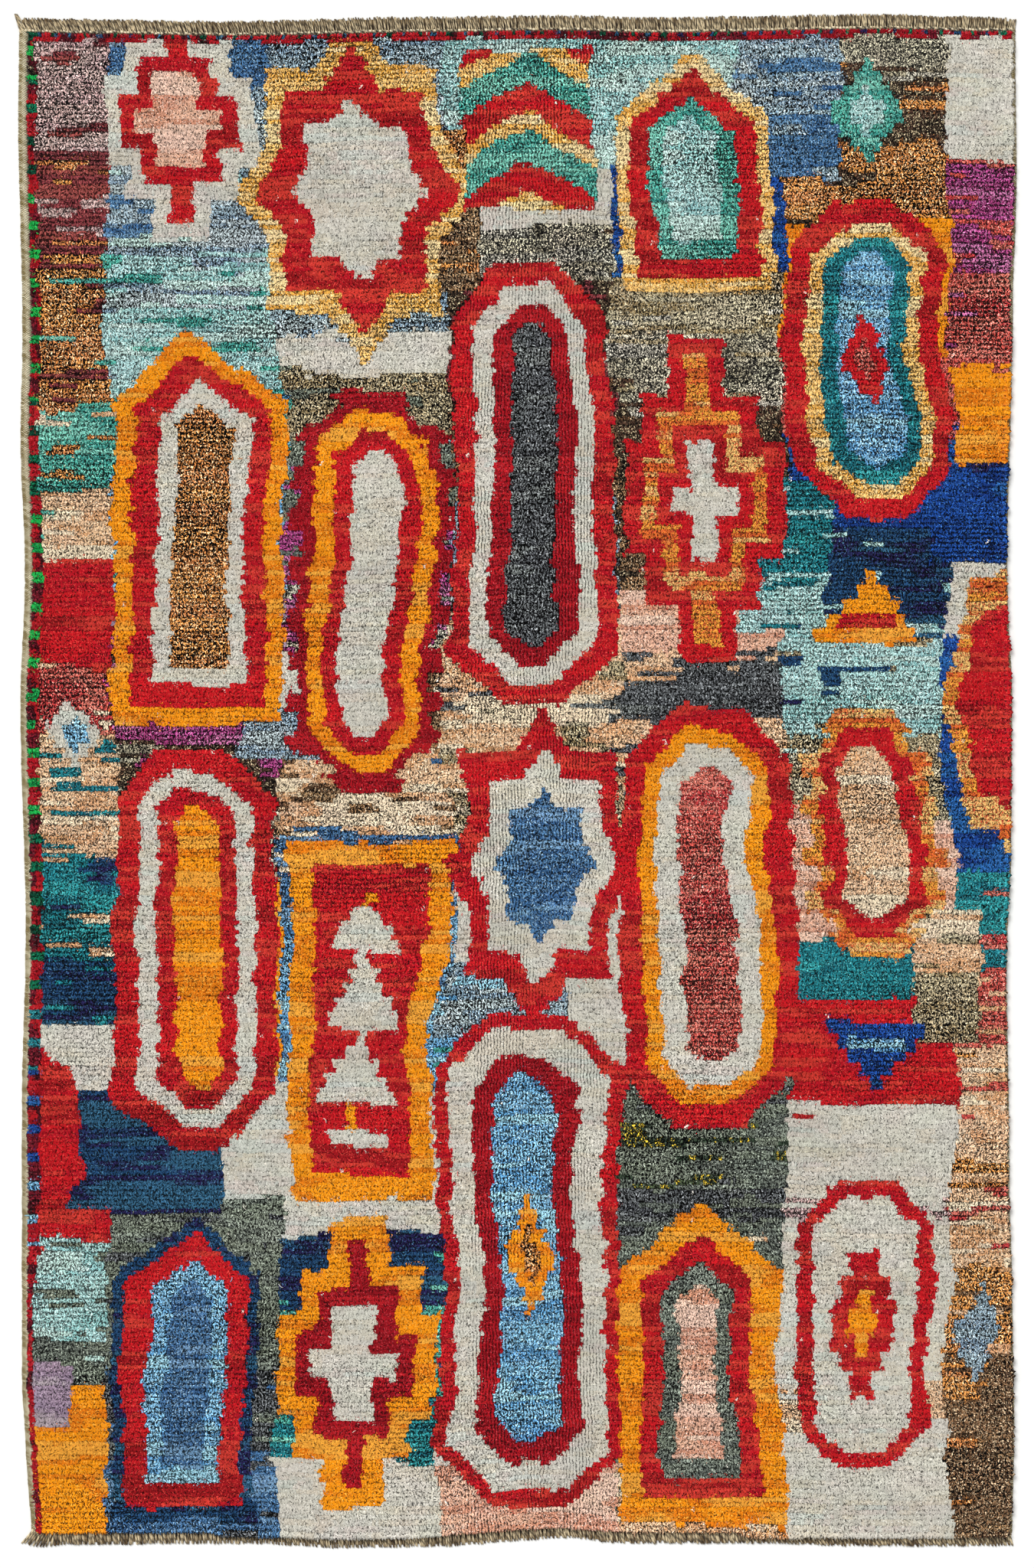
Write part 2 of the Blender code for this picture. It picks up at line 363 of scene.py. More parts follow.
@dataclass
class Plan:
    """The rug's outlines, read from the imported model's meshes.

    Attributes:
        nodes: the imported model's objects by name.
        level: how near a height has to be to count as that height.
        pile_sides: the pile's long edges.
        pile_ends: the pile's short edges.
        cord_sides: the outer lines of the side cords.
        tips: X and Y of every strand's tip at each end, from left to right.
    """

    nodes: dict[str, bpy.types.Object]
    level: float = 0.00005
    pile_sides: dict[Side, Edge] = field(default_factory=dict)
    pile_ends: dict[End, Edge] = field(default_factory=dict)
    cord_sides: dict[Side, Edge] = field(default_factory=dict)
    tips: dict[End, Array] = field(default_factory=dict)

    def read(self) -> "Plan":
        """Read the pile's rim, the side cords' outer lines and the fringe's tips.

        Returns:
            The plan itself.
        """
        self.read_rim(spots(self.nodes["pile"]))
        for side, name in ((Side.LEFT, "selvage_left"), (Side.RIGHT, "selvage_right")):
            # The outer line is the part of the cord's foot that lies well away from the pile.
            cord = spots(self.nodes[name])
            foot = cord[cord[:, 2] > self.level]
            foot = foot[foot[:, 2] < foot[:, 2].min() + self.level]
            outer = foot[np.abs(foot[:, 0] - self.pile_sides[side].at(foot[:, 1])) > 0.005]
            outer = outer[np.argsort(outer[:, 1])]
            self.cord_sides[side] = Edge(outer[:, 1], outer[:, 0])
        for end, name in ((End.BOTTOM, "fringe_bottom"), (End.TOP, "fringe_top")):
            # Every strand ends in two points, at a level where it has no others.
            points = spots(self.nodes[name])
            low = points[(points[:, 2] > 0.001) & (points[:, 2] < 0.004)]
            low = low[np.argsort(low[:, 0])]
            self.tips[end] = (low[0::2, :2] + low[1::2, :2]) / 2
        return self

    def read_rim(self, points: Array) -> None:
        """Find the four edges of the pile's rim among its mesh's points.

        Args:
            points: N by 3 places of the pile's mesh.
        """
        rim_height = points[points[:, 0] > points[:, 0].max() - self.level, 2].max()
        rim = points[np.abs(points[:, 2] - rim_height) < self.level, :2]
        turn = np.arctan2(rim[:, 1], rim[:, 0])
        corner = {(i, j): turn[np.argmax(i * rim[:, 0] + j * rim[:, 1])] for i in (-1, 1) for j in (-1, 1)}
        chosen = {
            End.BOTTOM: (turn >= corner[-1, -1]) & (turn <= corner[1, -1]),
            Side.RIGHT: (turn >= corner[1, -1]) & (turn <= corner[1, 1]),
            End.TOP: (turn >= corner[1, 1]) & (turn <= corner[-1, 1]),
            Side.LEFT: (turn >= corner[-1, 1]) | (turn <= corner[-1, -1]),
        }
        for edges, names, along in ((self.pile_sides, Side, 1), (self.pile_ends, End, 0)):
            for name in names:
                line = rim[chosen[name]]
                line = line[np.argsort(line[:, along])]
                edges[name] = Edge(line[:, along], line[:, 1 - along])

    def field_point(self, s: Array, t: Array) -> tuple[Array, Array]:
        """Find a point of the pile.

        Args:
            s: the point's share across, from the left.
            t: its share up, from the bottom.

        Returns:
            Its X and Y.
        """
        bottom, top = self.pile_ends[End.BOTTOM], self.pile_ends[End.TOP]
        y = bottom.out.mean() * (1 - t) + top.out.mean() * t
        for _ in range(2):  # the second round settles it between all four edges
            x = self.pile_sides[Side.LEFT].at(y) * (1 - s) + self.pile_sides[Side.RIGHT].at(y) * s
            y = bottom.at(x) * (1 - t) + top.at(x) * t
        return x, y


# --------------------------------------------------------------------------- the knotted design


class Form(enum.Enum):
    """Traditional outlines for a medallion."""

    OCTAGON = "octagon"
    STAR = "eight-pointed star"
    NICHE = "stepped niche"
    CROSS = "stepped cross"
    COGGED = "octagon with cogged sides"
    CHEVRON = "running water"


TREE = (
    "o....",
    "##...",
    "###..",
    "####.",
    "#....",
    "##...",
    "###..",
    "####.",
    "#####",
    "#....",
    "##...",
    "###..",
    "####.",
    "#####",
    "o....",
    "o....",
    "####.",
)
BUD = (
    "#...",
    "##..",
    "o##.",
    "oo##",
    "oo##",
    "o##.",
    "##..",
    "#...",
)
AMULET = (
    "#....",
    "##...",
    "###..",
    "ooo#.",
    "#####",
)


@dataclass(frozen=True)
class Medallion:
    """A figure with bands of colour that follow its outline inwards.

    Attributes:
        form: its outline.
        centre: X and Y of its middle.
        half: half its width and half its height.
        rings: how far in each band starts, in millimetres, with its wool.
    """

    form: Form
    centre: tuple[float, float]
    half: tuple[float, float]
    rings: tuple[tuple[float, Wool], ...]

    def inside(self, x: Array, y: Array) -> Array:
        """Measure how far inside the outline each point lies.

        Args:
            x: X of each point.
            y: Y of each point.

        Returns:
            Metres, negative outside.
        """
        w, h = self.half
        step = ROW * (2 if self.form is Form.CROSS else 1)
        dx, up = np.abs(x - self.centre[0]), y - self.centre[1]
        dy = (np.floor(np.abs(up) / step) + 0.5) * step
        across = (np.floor(dx / step) + 0.5) * step
        if self.form is Form.STAR:
            stretch = h / w
            return np.maximum(w - np.maximum(dx, dy / stretch), w - (across + dy / stretch) / math.sqrt(2))
        if self.form is Form.NICHE:
            rise = h * 0.42 + (w - across) * 0.85 - up
            return np.minimum(np.minimum(w - dx, up + h), rise / 1.31)
        if self.form is Form.CROSS:
            arms = ((1.0, 0.36), (0.74, 0.66), (0.38, 1.0))
            return np.max([np.minimum(w * a - dx, h * b - np.abs(up)) for a, b in arms], axis=0)
        if self.form is Form.CHEVRON:
            repeat = 0.16
            return np.where((dx < w) & (np.abs(up) < h), np.mod(up + 0.55 * across, repeat), -1.0)
        cut = 0.62 * min(w, h)  # how much of each corner the octagon loses
        body = np.minimum(np.minimum(w - dx, h - np.abs(up)), (w + h - cut - across - dy) / math.sqrt(2))
        if self.form is Form.COGGED:
            pitch, depth = 0.085, 0.020
            cog = 0.5 + 0.5 * np.sign(np.sin(2 * math.pi * np.abs(up) / pitch + 0.9))
            body = body - depth * cog * (dx > 0.4 * w) * (body < 0.045)
        return body

    def work(self, cloth: "Cloth") -> None:
        """Knot the figure into the cloth.

        Args:
            cloth: the knots, whose wool is set.
        """
        depth = self.inside(cloth.x, cloth.y)
        for start, wool in self.rings:
            cloth.wool[depth >= start * MM] = NUMBER[wool]


@dataclass(frozen=True)
class Charted:
    """A small figure from a half chart, mirrored about its upright middle line.

    Attributes:
        chart: rows of cells from the top, each from the middle outwards.
        centre: X and Y of its middle.
        cell: a cell's width and height.
        inks: the wool for each letter.
        turned: whether it stands on its head.
    """

    chart: tuple[str, ...]
    centre: tuple[float, float]
    cell: tuple[float, float]
    inks: dict[str, Wool]
    turned: bool = False

    def work(self, cloth: "Cloth") -> None:
        """Knot the figure into the cloth.

        Args:
            cloth: the knots, whose wool is set.
        """
        cells = np.array([list(line) for line in self.chart])
        rows = len(cells)
        column = np.floor(np.abs(cloth.x - self.centre[0]) / self.cell[0] + 0.5).astype(int)
        up = (cloth.y - self.centre[1]) * (-1 if self.turned else 1)
        row = np.floor(rows / 2 - up / self.cell[1]).astype(int)
        within = (row >= 0) & (row < rows) & (column < cells.shape[1])
        letter = np.where(within, cells[row.clip(0, rows - 1), column.clip(0, cells.shape[1] - 1)], ".")
        for ink, wool in self.inks.items():
            cloth.wool[letter == ink] = NUMBER[wool]


@dataclass(frozen=True)
class Panel:
    """One compartment: a ground in bands of changing wool.

    Attributes:
        box: left, bottom, right and top.
        ground: wools from the bottom up, with their relative heights.
        frame: the wool and width of a frame inside it, if it has one.
        streaks: how far the bands run into each other, as a share of the height.
        slubs: the share of an open wool's band that is knotted in the next band's wool, in short streaks.
        open_wool: how open a wool's strands lie for its bands to run so.
    """

    box: tuple[float, float, float, float]
    ground: Bands
    frame: tuple[Wool, float] | None = None
    streaks: float = 0.012
    slubs: float = 0.18
    open_wool: float = 0.42

    def work(self, cloth: "Cloth") -> None:
        """Knot the panel into the cloth.

        Args:
            cloth: the knots, whose wool is set.
        """
        left, bottom, right, top = self.box
        here = (cloth.x >= left) & (cloth.x < right) & (cloth.y >= bottom) & (cloth.y < top)
        share = (cloth.y - bottom) / (top - bottom) + self.streaks * (cloth.streak - 0.5)
        limits = np.cumsum([height for _, height in self.ground])
        band = np.searchsorted(limits / limits[-1], share.clip(0, 0.9999), side="right")
        numbers = np.array([NUMBER[wool] for wool, _ in self.ground])
        loose = np.array([wool.value.gaps > self.open_wool for wool, _ in self.ground])
        beside = (band + cloth.sway).clip(0, len(numbers) - 1)
        band = np.where((cloth.slub > 1 - self.slubs) & loose[band] & loose[beside], beside, band)
        cloth.wool[here] = numbers[band[here]]
        if self.frame:
            wool, width = self.frame
            rim = np.minimum.reduce([cloth.x - left, right - cloth.x, cloth.y - bottom, top - cloth.y])
            cloth.wool[here & (rim < width)] = NUMBER[wool]


W, F = Wool, Form
FOOT, HEAD = -1.51, 1.51

GROUNDS = (
    Panel(
        (-1.1, FOOT, -0.81, HEAD),
        (
            (W.MARIGOLD, 0.28), (W.SLATE, 0.10), (W.AQUA, 0.16), (W.MADDER, 0.14), (W.IVORY, 0.26),
            (W.NAVY, 0.10), (W.TEAL, 0.20), (W.SAND, 0.22), (W.CORAL, 0.14), (W.MADDER, 0.20),
            (W.SAND, 0.12), (W.JADE, 0.16), (W.TOFFEE, 0.24), (W.ROSEWOOD, 0.24), (W.MAUVE, 0.22),
        ),
    ),
    Panel(
        (-0.81, FOOT, -0.47, HEAD),
        (
            (W.DENIM, 0.16), (W.CHARCOAL, 0.14), (W.SLATE, 0.34), (W.IVORY, 0.22), (W.MARIGOLD, 0.34),
            (W.PEPPER, 0.14), (W.BARK, 0.12), (W.FUCHSIA, 0.18), (W.LILAC, 0.10), (W.SKY, 0.20),
            (W.JADE, 0.16), (W.AQUA, 0.24), (W.STEEL, 0.32), (W.DENIM, 0.12),
        ),
    ),
    Panel(
        (-0.47, FOOT, -0.14, HEAD),
        (
            (W.IVORY, 0.14), (W.TEAL, 0.12), (W.JADE, 0.16), (W.NAVY, 0.14), (W.IVORY, 0.26), (W.SKY, 0.30),
            (W.DENIM, 0.16), (W.SAND, 0.16), (W.WALNUT, 0.12), (W.PEPPER, 0.10), (W.FUCHSIA, 0.20),
            (W.SLATE, 0.12), (W.KHAKI, 0.12), (W.IVORY, 0.08), (W.STEEL, 0.14), (W.BARK, 0.12),
            (W.ROYAL, 0.08), (W.STEEL, 0.22),
        ),
    ),
    Panel(
        (-0.14, FOOT, 0.20, HEAD),
        (
            (W.SALMON, 0.16), (W.IVORY, 0.14), (W.SLATE, 0.30), (W.JADE, 0.10), (W.SKY, 0.30),
            (W.STEEL, 0.14), (W.IVORY, 0.16), (W.BRIAR, 0.08), (W.KHAKI, 0.12), (W.SAND, 0.36),
            (W.CHARCOAL, 0.10), (W.STEEL, 0.12), (W.WALNUT, 0.16), (W.ROSEWOOD, 0.14), (W.BARK, 0.14),
            (W.PEPPER, 0.12), (W.IVORY, 0.12), (W.AQUA, 0.28),
        ),
    ),
    Panel(
        (0.20, FOOT, 0.54, HEAD),
        (
            (W.SAND, 0.12), (W.SLATE, 0.42), (W.CHARCOAL, 0.05), (W.SLATE, 0.24), (W.BRIAR, 0.10),
            (W.KHAKI, 0.08), (W.SAND, 0.36), (W.CHARCOAL, 0.10), (W.SALMON, 0.12), (W.WALNUT, 0.18),
            (W.BARK, 0.12), (W.PEPPER, 0.12), (W.KHAKI, 0.10), (W.ROYAL, 0.20), (W.AQUA, 0.22),
        ),
    ),
    Panel(
        (0.54, FOOT, 0.87, HEAD),
        (
            (W.IVORY, 0.22), (W.SAND, 0.07), (W.IVORY, 0.35), (W.MAUVE, 0.02), (W.IVORY, 0.18),
            (W.MADDER, 0.21), (W.TEAL, 0.14), (W.SALMON, 0.24), (W.KHAKI, 0.14), (W.AQUA, 0.24),
            (W.NAVY, 0.18), (W.ROYAL, 0.20), (W.CORAL, 0.14), (W.MARIGOLD, 0.26), (W.TOFFEE, 0.16),
            (W.BARK, 0.14), (W.PEPPER, 0.10),
        ),
    ),
    Panel(
        (0.87, FOOT, 1.1, HEAD),
        (
            (W.WALNUT, 0.34), (W.TOFFEE, 0.16), (W.SAND, 0.42), (W.CORAL, 0.14), (W.TEAL, 0.20),
            (W.ROYAL, 0.44), (W.IVORY, 0.20), (W.NAVY, 0.12), (W.MARIGOLD, 0.16), (W.CORAL, 0.20),
            (W.FUCHSIA, 0.20), (W.IVORY, 0.26),
        ),
    ),
    Panel((-0.90, -0.86, -0.60, -0.62), ((W.NAVY, 1.0),)),
    Panel((-0.55, 0.04, -0.38, 0.26), ((W.STEEL, 0.5), (W.IVORY, 0.5))),
    Panel((-0.24, 0.98, -0.06, 1.30), ((W.WALNUT, 0.6), (W.TOFFEE, 0.4))),
    Panel((0.10, -0.58, 0.30, -0.20), ((W.IVORY, 1.0),)),
    Panel((0.44, 0.30, 0.62, 0.60), ((W.AQUA, 0.4), (W.TEAL, 0.6))),
    Panel((0.46, 1.20, 0.66, HEAD), ((W.DENIM, 0.4), (W.STEEL, 0.6))),
    Panel((0.78, -0.52, 0.92, -0.26), ((W.KHAKI, 0.5), (W.SAND, 0.5))),
    Panel((0.82, 0.44, 1.10, 0.62), ((W.ROYAL, 1.0),)),
    Panel((-1.10, -1.30, -0.88, -1.16), ((W.LILAC, 1.0),)),
)

FIGURES = (
    # First upright row of figures, from the bottom.
    Medallion(
        F.NICHE, (-0.655, -1.13), (0.142, 0.345),
        ((0, W.NAVY), (22, W.MADDER), (66, W.SKY), (100, W.DENIM)),
    ),
    Medallion(
        F.OCTAGON, (-0.645, -0.33), (0.168, 0.400),
        ((0, W.MADDER), (46, W.IVORY), (86, W.MADDER), (122, W.MARIGOLD)),
    ),
    Medallion(
        F.NICHE, (-0.640, 0.565), (0.168, 0.450),
        ((0, W.MARIGOLD), (34, W.MADDER), (78, W.IVORY), (110, W.TOFFEE)),
    ),
    Medallion(F.CROSS, (-0.655, 1.315), (0.155, 0.240), ((0, W.IVORY), (34, W.MADDER), (66, W.SALMON))),
    # Second.
    Medallion(F.CROSS, (-0.310, -1.165), (0.160, 0.290), ((0, W.MARIGOLD), (42, W.CRIMSON), (76, W.IVORY))),
    Panel((-0.450, -0.84, -0.150, -0.12), ((W.MADDER, 1.0),), (W.MARIGOLD, 0.048)),
    Charted(TREE, (-0.300, -0.48), (0.0175, 0.0300), {"#": W.IVORY, "o": W.MARIGOLD}),
    Medallion(
        F.COGGED, (-0.300, 0.380), (0.160, 0.400),
        ((0, W.CRIMSON), (40, W.MARIGOLD), (78, W.MADDER), (112, W.IVORY)),
    ),
    Medallion(F.STAR, (-0.315, 1.180), (0.166, 0.245), ((0, W.STRAW), (28, W.MADDER), (76, W.IVORY))),
    # Third.
    Medallion(
        F.OCTAGON, (0.035, -0.960), (0.178, 0.490),
        ((0, W.MADDER), (30, W.IVORY), (82, W.CRIMSON), (120, W.SKY)),
    ),
    Charted(BUD, (0.035, -0.95), (0.0125, 0.030), {"#": W.MARIGOLD, "o": W.TOFFEE}),
    Medallion(F.STAR, (0.040, -0.170), (0.150, 0.225), ((0, W.MADDER), (38, W.IVORY), (76, W.DENIM))),
    Medallion(
        F.OCTAGON, (0.030, 0.590), (0.164, 0.440),
        ((0, W.MADDER), (42, W.IVORY), (80, W.CRIMSON), (118, W.CHARCOAL)),
    ),
    Medallion(F.CHEVRON, (0.030, 1.300), (0.135, 0.160), ((0, W.STRAW), (38, W.MADDER), (98, W.JADE))),
    # Fourth.
    Medallion(
        F.NICHE, (0.375, -1.130), (0.166, 0.350),
        ((0, W.MARIGOLD), (50, W.MADDER), (90, W.SLATE), (124, W.SALMON)),
    ),
    Medallion(
        F.OCTAGON, (0.380, -0.270), (0.172, 0.420),
        ((0, W.MADDER), (46, W.MARIGOLD), (80, W.IVORY), (126, W.CORAL)),
    ),
    Medallion(
        F.CROSS, (0.375, 0.560), (0.160, 0.320),
        ((0, W.MADDER), (34, W.EMBER), (62, W.MADDER), (90, W.IVORY)),
    ),
    Medallion(
        F.NICHE, (0.365, 1.225), (0.150, 0.250),
        ((0, W.STRAW), (28, W.MADDER), (70, W.JADE), (102, W.AQUA)),
    ),
    # Fifth.
    Medallion(F.OCTAGON, (0.705, -1.090), (0.132, 0.290), ((0, W.MADDER), (32, W.IVORY))),
    Medallion(F.CROSS, (0.705, -1.090), (0.062, 0.150), ((0, W.MADDER), (30, W.MARIGOLD))),
    Charted(AMULET, (0.705, -0.55), (0.0200, 0.0260), {"#": W.ROYAL, "o": W.SKY}, turned=True),
    Medallion(F.COGGED, (0.710, -0.105), (0.140, 0.250), ((0, W.EMBER), (36, W.MADDER), (78, W.SAND))),
    Charted(AMULET, (0.710, 0.345), (0.0215, 0.030), {"#": W.MARIGOLD, "o": W.MADDER}),
    Medallion(
        F.OCTAGON, (0.700, 0.840), (0.156, 0.320),
        ((0, W.MADDER), (42, W.STRAW), (72, W.TEAL), (104, W.SKY)),
    ),
    Charted(BUD, (0.700, 0.84), (0.0125, 0.024), {"#": W.MADDER, "o": W.CORAL}),
    Charted(BUD, (0.715, 1.335), (0.0215, 0.0245), {"#": W.JADE, "o": W.AQUA}),
    Medallion(F.STAR, (1.000, 0.155), (0.095, 0.260), ((0, W.EMBER), (28, W.MADDER))),
    Medallion(F.OCTAGON, (-0.985, -0.70), (0.120, 0.170), ((0, W.MADDER),)),
    Charted(BUD, (-0.885, 0.10), (0.0125, 0.017), {"#": W.IVORY, "o": W.SKY}),
    Charted(BUD, (0.925, -1.10), (0.0115, 0.024), {"#": W.STEEL, "o": W.STEEL}),
)


@dataclass
class Cloth:
    """The knots while the design is worked: where each one lies and which wool it has.

    Attributes:
        NEPS: the sRGB hex of undyed fibres caught in the yarn, and the share of knots that have them.
        SPOTS: the wool of the spots down the edging, and the Y below which each is used.
        plan: the rug's outlines.
        across: knots in a row.
        along: rows of knots.
        guard: the red edging's width down the left side.
        head: the red edging's height along the top.
        spot_pitch: from spot to spot down the left side.
        dash_pitch: from dash to dash along the top.
        seed: for every random choice.
        x: X of each knot on the drawn design, once the weaver's hand has wandered.
        y: Y of each knot in the same way.
        wool: the number of each knot's wool.
        streak: an even random value from 0 to 1 that changes from row to row, for dye lots.
        slub: the same in short streaks, for yarn that runs on into the next band.
        sway: whether such a streak comes from the band above or below, 1 or -1.
    """

    NEPS: ClassVar[tuple[str, float]] = ("#F2EBDD", 0.0014)
    SPOTS: ClassVar[Bands] = (
        (Wool.LEAF, 1.60), (Wool.EMERALD, 1.40), (Wool.LEAF, 1.19), (Wool.EMERALD, 0.76), (Wool.LEAF, 0.56),
        (Wool.EMERALD, -0.11), (Wool.TEAL, -0.43), (Wool.ROYAL, -0.58), (Wool.SKY, -0.77),
        (Wool.CRIMSON, -0.93),
    )

    plan: Plan
    across: int = 302
    along: int = 316
    guard: float = 0.019
    head: float = 0.0155
    spot_pitch: float = 0.0585
    dash_pitch: float = 0.0306
    seed: int = 41
    x: Array = field(init=False)
    y: Array = field(init=False)
    wool: Array = field(init=False)
    streak: Array = field(init=False)
    slub: Array = field(init=False)
    sway: Array = field(init=False)

    def work(self) -> "Cloth":
        """Knot the whole design, compartments first and the edging last.

        Returns:
            The cloth itself.
        """
        s, t = (np.arange(self.across) + 0.5) / self.across, (np.arange(self.along) + 0.5) / self.along
        real_x, real_y = self.plan.field_point(*np.meshgrid(s, t))
        self.x, self.y = self.by_hand(real_x, real_y)
        streak = 0.6 * patches(real_x, real_y, 0.15, 0.016, self.seed)
        streak = streak + 0.4 * patches(real_x, real_y, 0.4, 0.05, 7)
        self.streak = ranked(streak + np.random.default_rng(self.seed).normal(0, 0.012, streak.shape))
        self.slub = ranked(patches(real_x, real_y, 0.085, 0.0125, 61))
        self.sway = np.where(patches(real_x, real_y, 0.30, 0.05, 62) > 0.5, 1, -1)
        self.wool = np.full(streak.shape, NUMBER[Wool.IVORY])
        for piece in GROUNDS + FIGURES:
            piece.work(self)
        self.edge(real_x, real_y)
        return self

    def by_hand(self, x: Array, y: Array) -> tuple[Array, Array]:
        """Wander off the drawn lines as a weaver's eye does, a little anew in every row.

        Args:
            x: X of each knot.
            y: Y of each knot.

        Returns:
            X and Y of each knot on the drawn design.
        """
        wander = 0.030 * (patches(x, y, 0.16, 0.17, 3) - 0.5)
        wander = wander + 0.014 * (patches(x, y, 0.05, 0.035, 4) - 0.5)
        slip = 0.009 * (patches(x, y, 0.06, ROW, 5) - 0.5)
        rise = 0.016 * (patches(x, y, 0.12, 0.2, 6) - 0.5)
        rise = rise + 0.008 * (patches(x, y, 0.03, 0.1, 8) - 0.5)
        drift = 0.045 * (patches(x, y, 0.45, 0.40, 9) - 0.5)
        return x + wander + slip + drift, y + rise

    def edge(self, x: Array, y: Array) -> None:
        """Knot the red edging with its green and blue spots down the left side and along the top.

        Args:
            x: X of each knot.
            y: Y of each knot.
        """
        inset = x - self.plan.pile_sides[Side.LEFT].at(y)
        width = self.guard * np.interp(y, (-1.5, -1.05, -0.90), (0.25, 0.36, 0.92))
        width = width + 0.006 * (patches(x, y, 9.0, 0.03, 12) - 0.5)
        side = inset < width
        lower = self.plan.pile_ends[End.TOP].at(x) - y
        top = lower < self.head + 0.012 * (patches(x, y, 0.045, 9.0, 13) - 0.5)
        self.wool[side | top] = NUMBER[Wool.CRIMSON]
        stain = patches(x, y, 0.02, 0.03, 14)
        self.wool[side & (stain > np.where(y > 1.37, 0.35, 0.52))] = NUMBER[Wool.GARNET]
        self.wool[side & (y > 1.40) & (stain > 0.70)] = NUMBER[Wool.BARK]
        self.wool[top & (stain > 0.62)] = NUMBER[Wool.GARNET]
        self.wool[(side | top) & (inset + 1.3 * lower < 0.024 + 0.02 * stain)] = NUMBER[Wool.EMERALD]
        phase = np.mod(y / self.spot_pitch + 0.35 * patches(x * 0, y, 1.0, 0.25, 15), 1.0)
        spot = side & (inset < width * 1.05) & (phase < 0.34)
        for wool, start in self.SPOTS:
            self.wool[spot & (y < start)] = NUMBER[wool]
        beat = np.mod(x / self.dash_pitch + 0.5 * patches(x, y * 0, 0.22, 1.0, 16), 1.0)
        dash = top & (beat < 0.26) & (lower < 0.010)
        number = np.floor(x / self.dash_pitch).astype(int)
        for odd, wool in enumerate((Wool.NAVY, Wool.EMERALD)):
            self.wool[dash & (number % 2 == odd)] = NUMBER[wool]

    @staticmethod
    def steps(middles: Array) -> tuple[Array, Array]:
        """Turn an even blend between dye lots into short blends with plain stretches between them.

        Args:
            middles: the middle of each lot's share of the batch.

        Returns:
            Places and values of the curve that does so.
        """
        gaps = np.diff(middles)
        before, after = middles[:-1] + 0.30 * gaps, middles[1:] - 0.30 * gaps
        places = np.sort(np.concatenate([middles, before, after]))
        values = np.sort(np.concatenate([middles, middles[:-1], middles[1:]]))
        return places, values

    def colours(self) -> tuple[Array, Array]:
        """The dyed colours of every knot.

        Returns:
            Two arrays of red, green, blue and one more value by row and column. The first has the wool's
            own colour and how open it lies, which sets the painted shade in its gaps, and the second its
            other ply and that ply's share.
        """
        rng = np.random.default_rng(self.seed)
        shape = self.wool.shape
        own, other = np.zeros(shape + (4,)), np.zeros(shape + (4,))
        for wool in WOOLS:
            yarn: Yarn = wool.value
            here = self.wool == NUMBER[wool]
            if not here.any():
                continue
            hexes, shares = zip(*yarn.lots)
            lots = np.array([linear(code) for code in hexes])
            middles = (np.cumsum(shares) - np.array(shares) / 2) / sum(shares)
            sharp = np.interp(self.streak[here], *self.steps(middles))
            for channel in range(3):
                own[here, channel] = np.interp(sharp, middles, lots[:, channel])
            own[here, 3] = yarn.gaps
            other[here] = (*linear(yarn.ply[0]), yarn.ply[1])
        own[..., :3] *= rng.normal(1.0, 0.035, shape + (1,)).clip(0.85, 1.2)
        for channel in range(3):
            own[..., channel] *= 0.975 + 0.05 * patches(self.x, self.y, 0.045, 0.028, 50 + channel)
        # How open the wool lies, and so how much painted shade its gaps get, changes from patch to patch.
        own[..., 3] += 0.26 * (patches(self.x, self.y, 0.20, 0.09, 71) - 0.40)
        own[..., 3] = own[..., 3].clip(0.03, 0.72)
        row, column = np.indices(shape)
        for up, right in ((0, 1), (0, -1), (1, 0), (-1, 0)):
            near = ((row + up).clip(0, self.along - 1), (column + right).clip(0, self.across - 1))
            mixed = (self.wool[near] != self.wool) & (rng.random(shape) < 0.45)
            other[mixed, :3] = own[near][mixed, :3]
            other[mixed, 3] = rng.uniform(0.02, 0.14, mixed.sum())
        nep = rng.random(shape) < self.NEPS[1]
        other[nep] = (*linear(self.NEPS[0]), 0.28)
        return own, other


# --------------------------------------------------------------------------- finishes


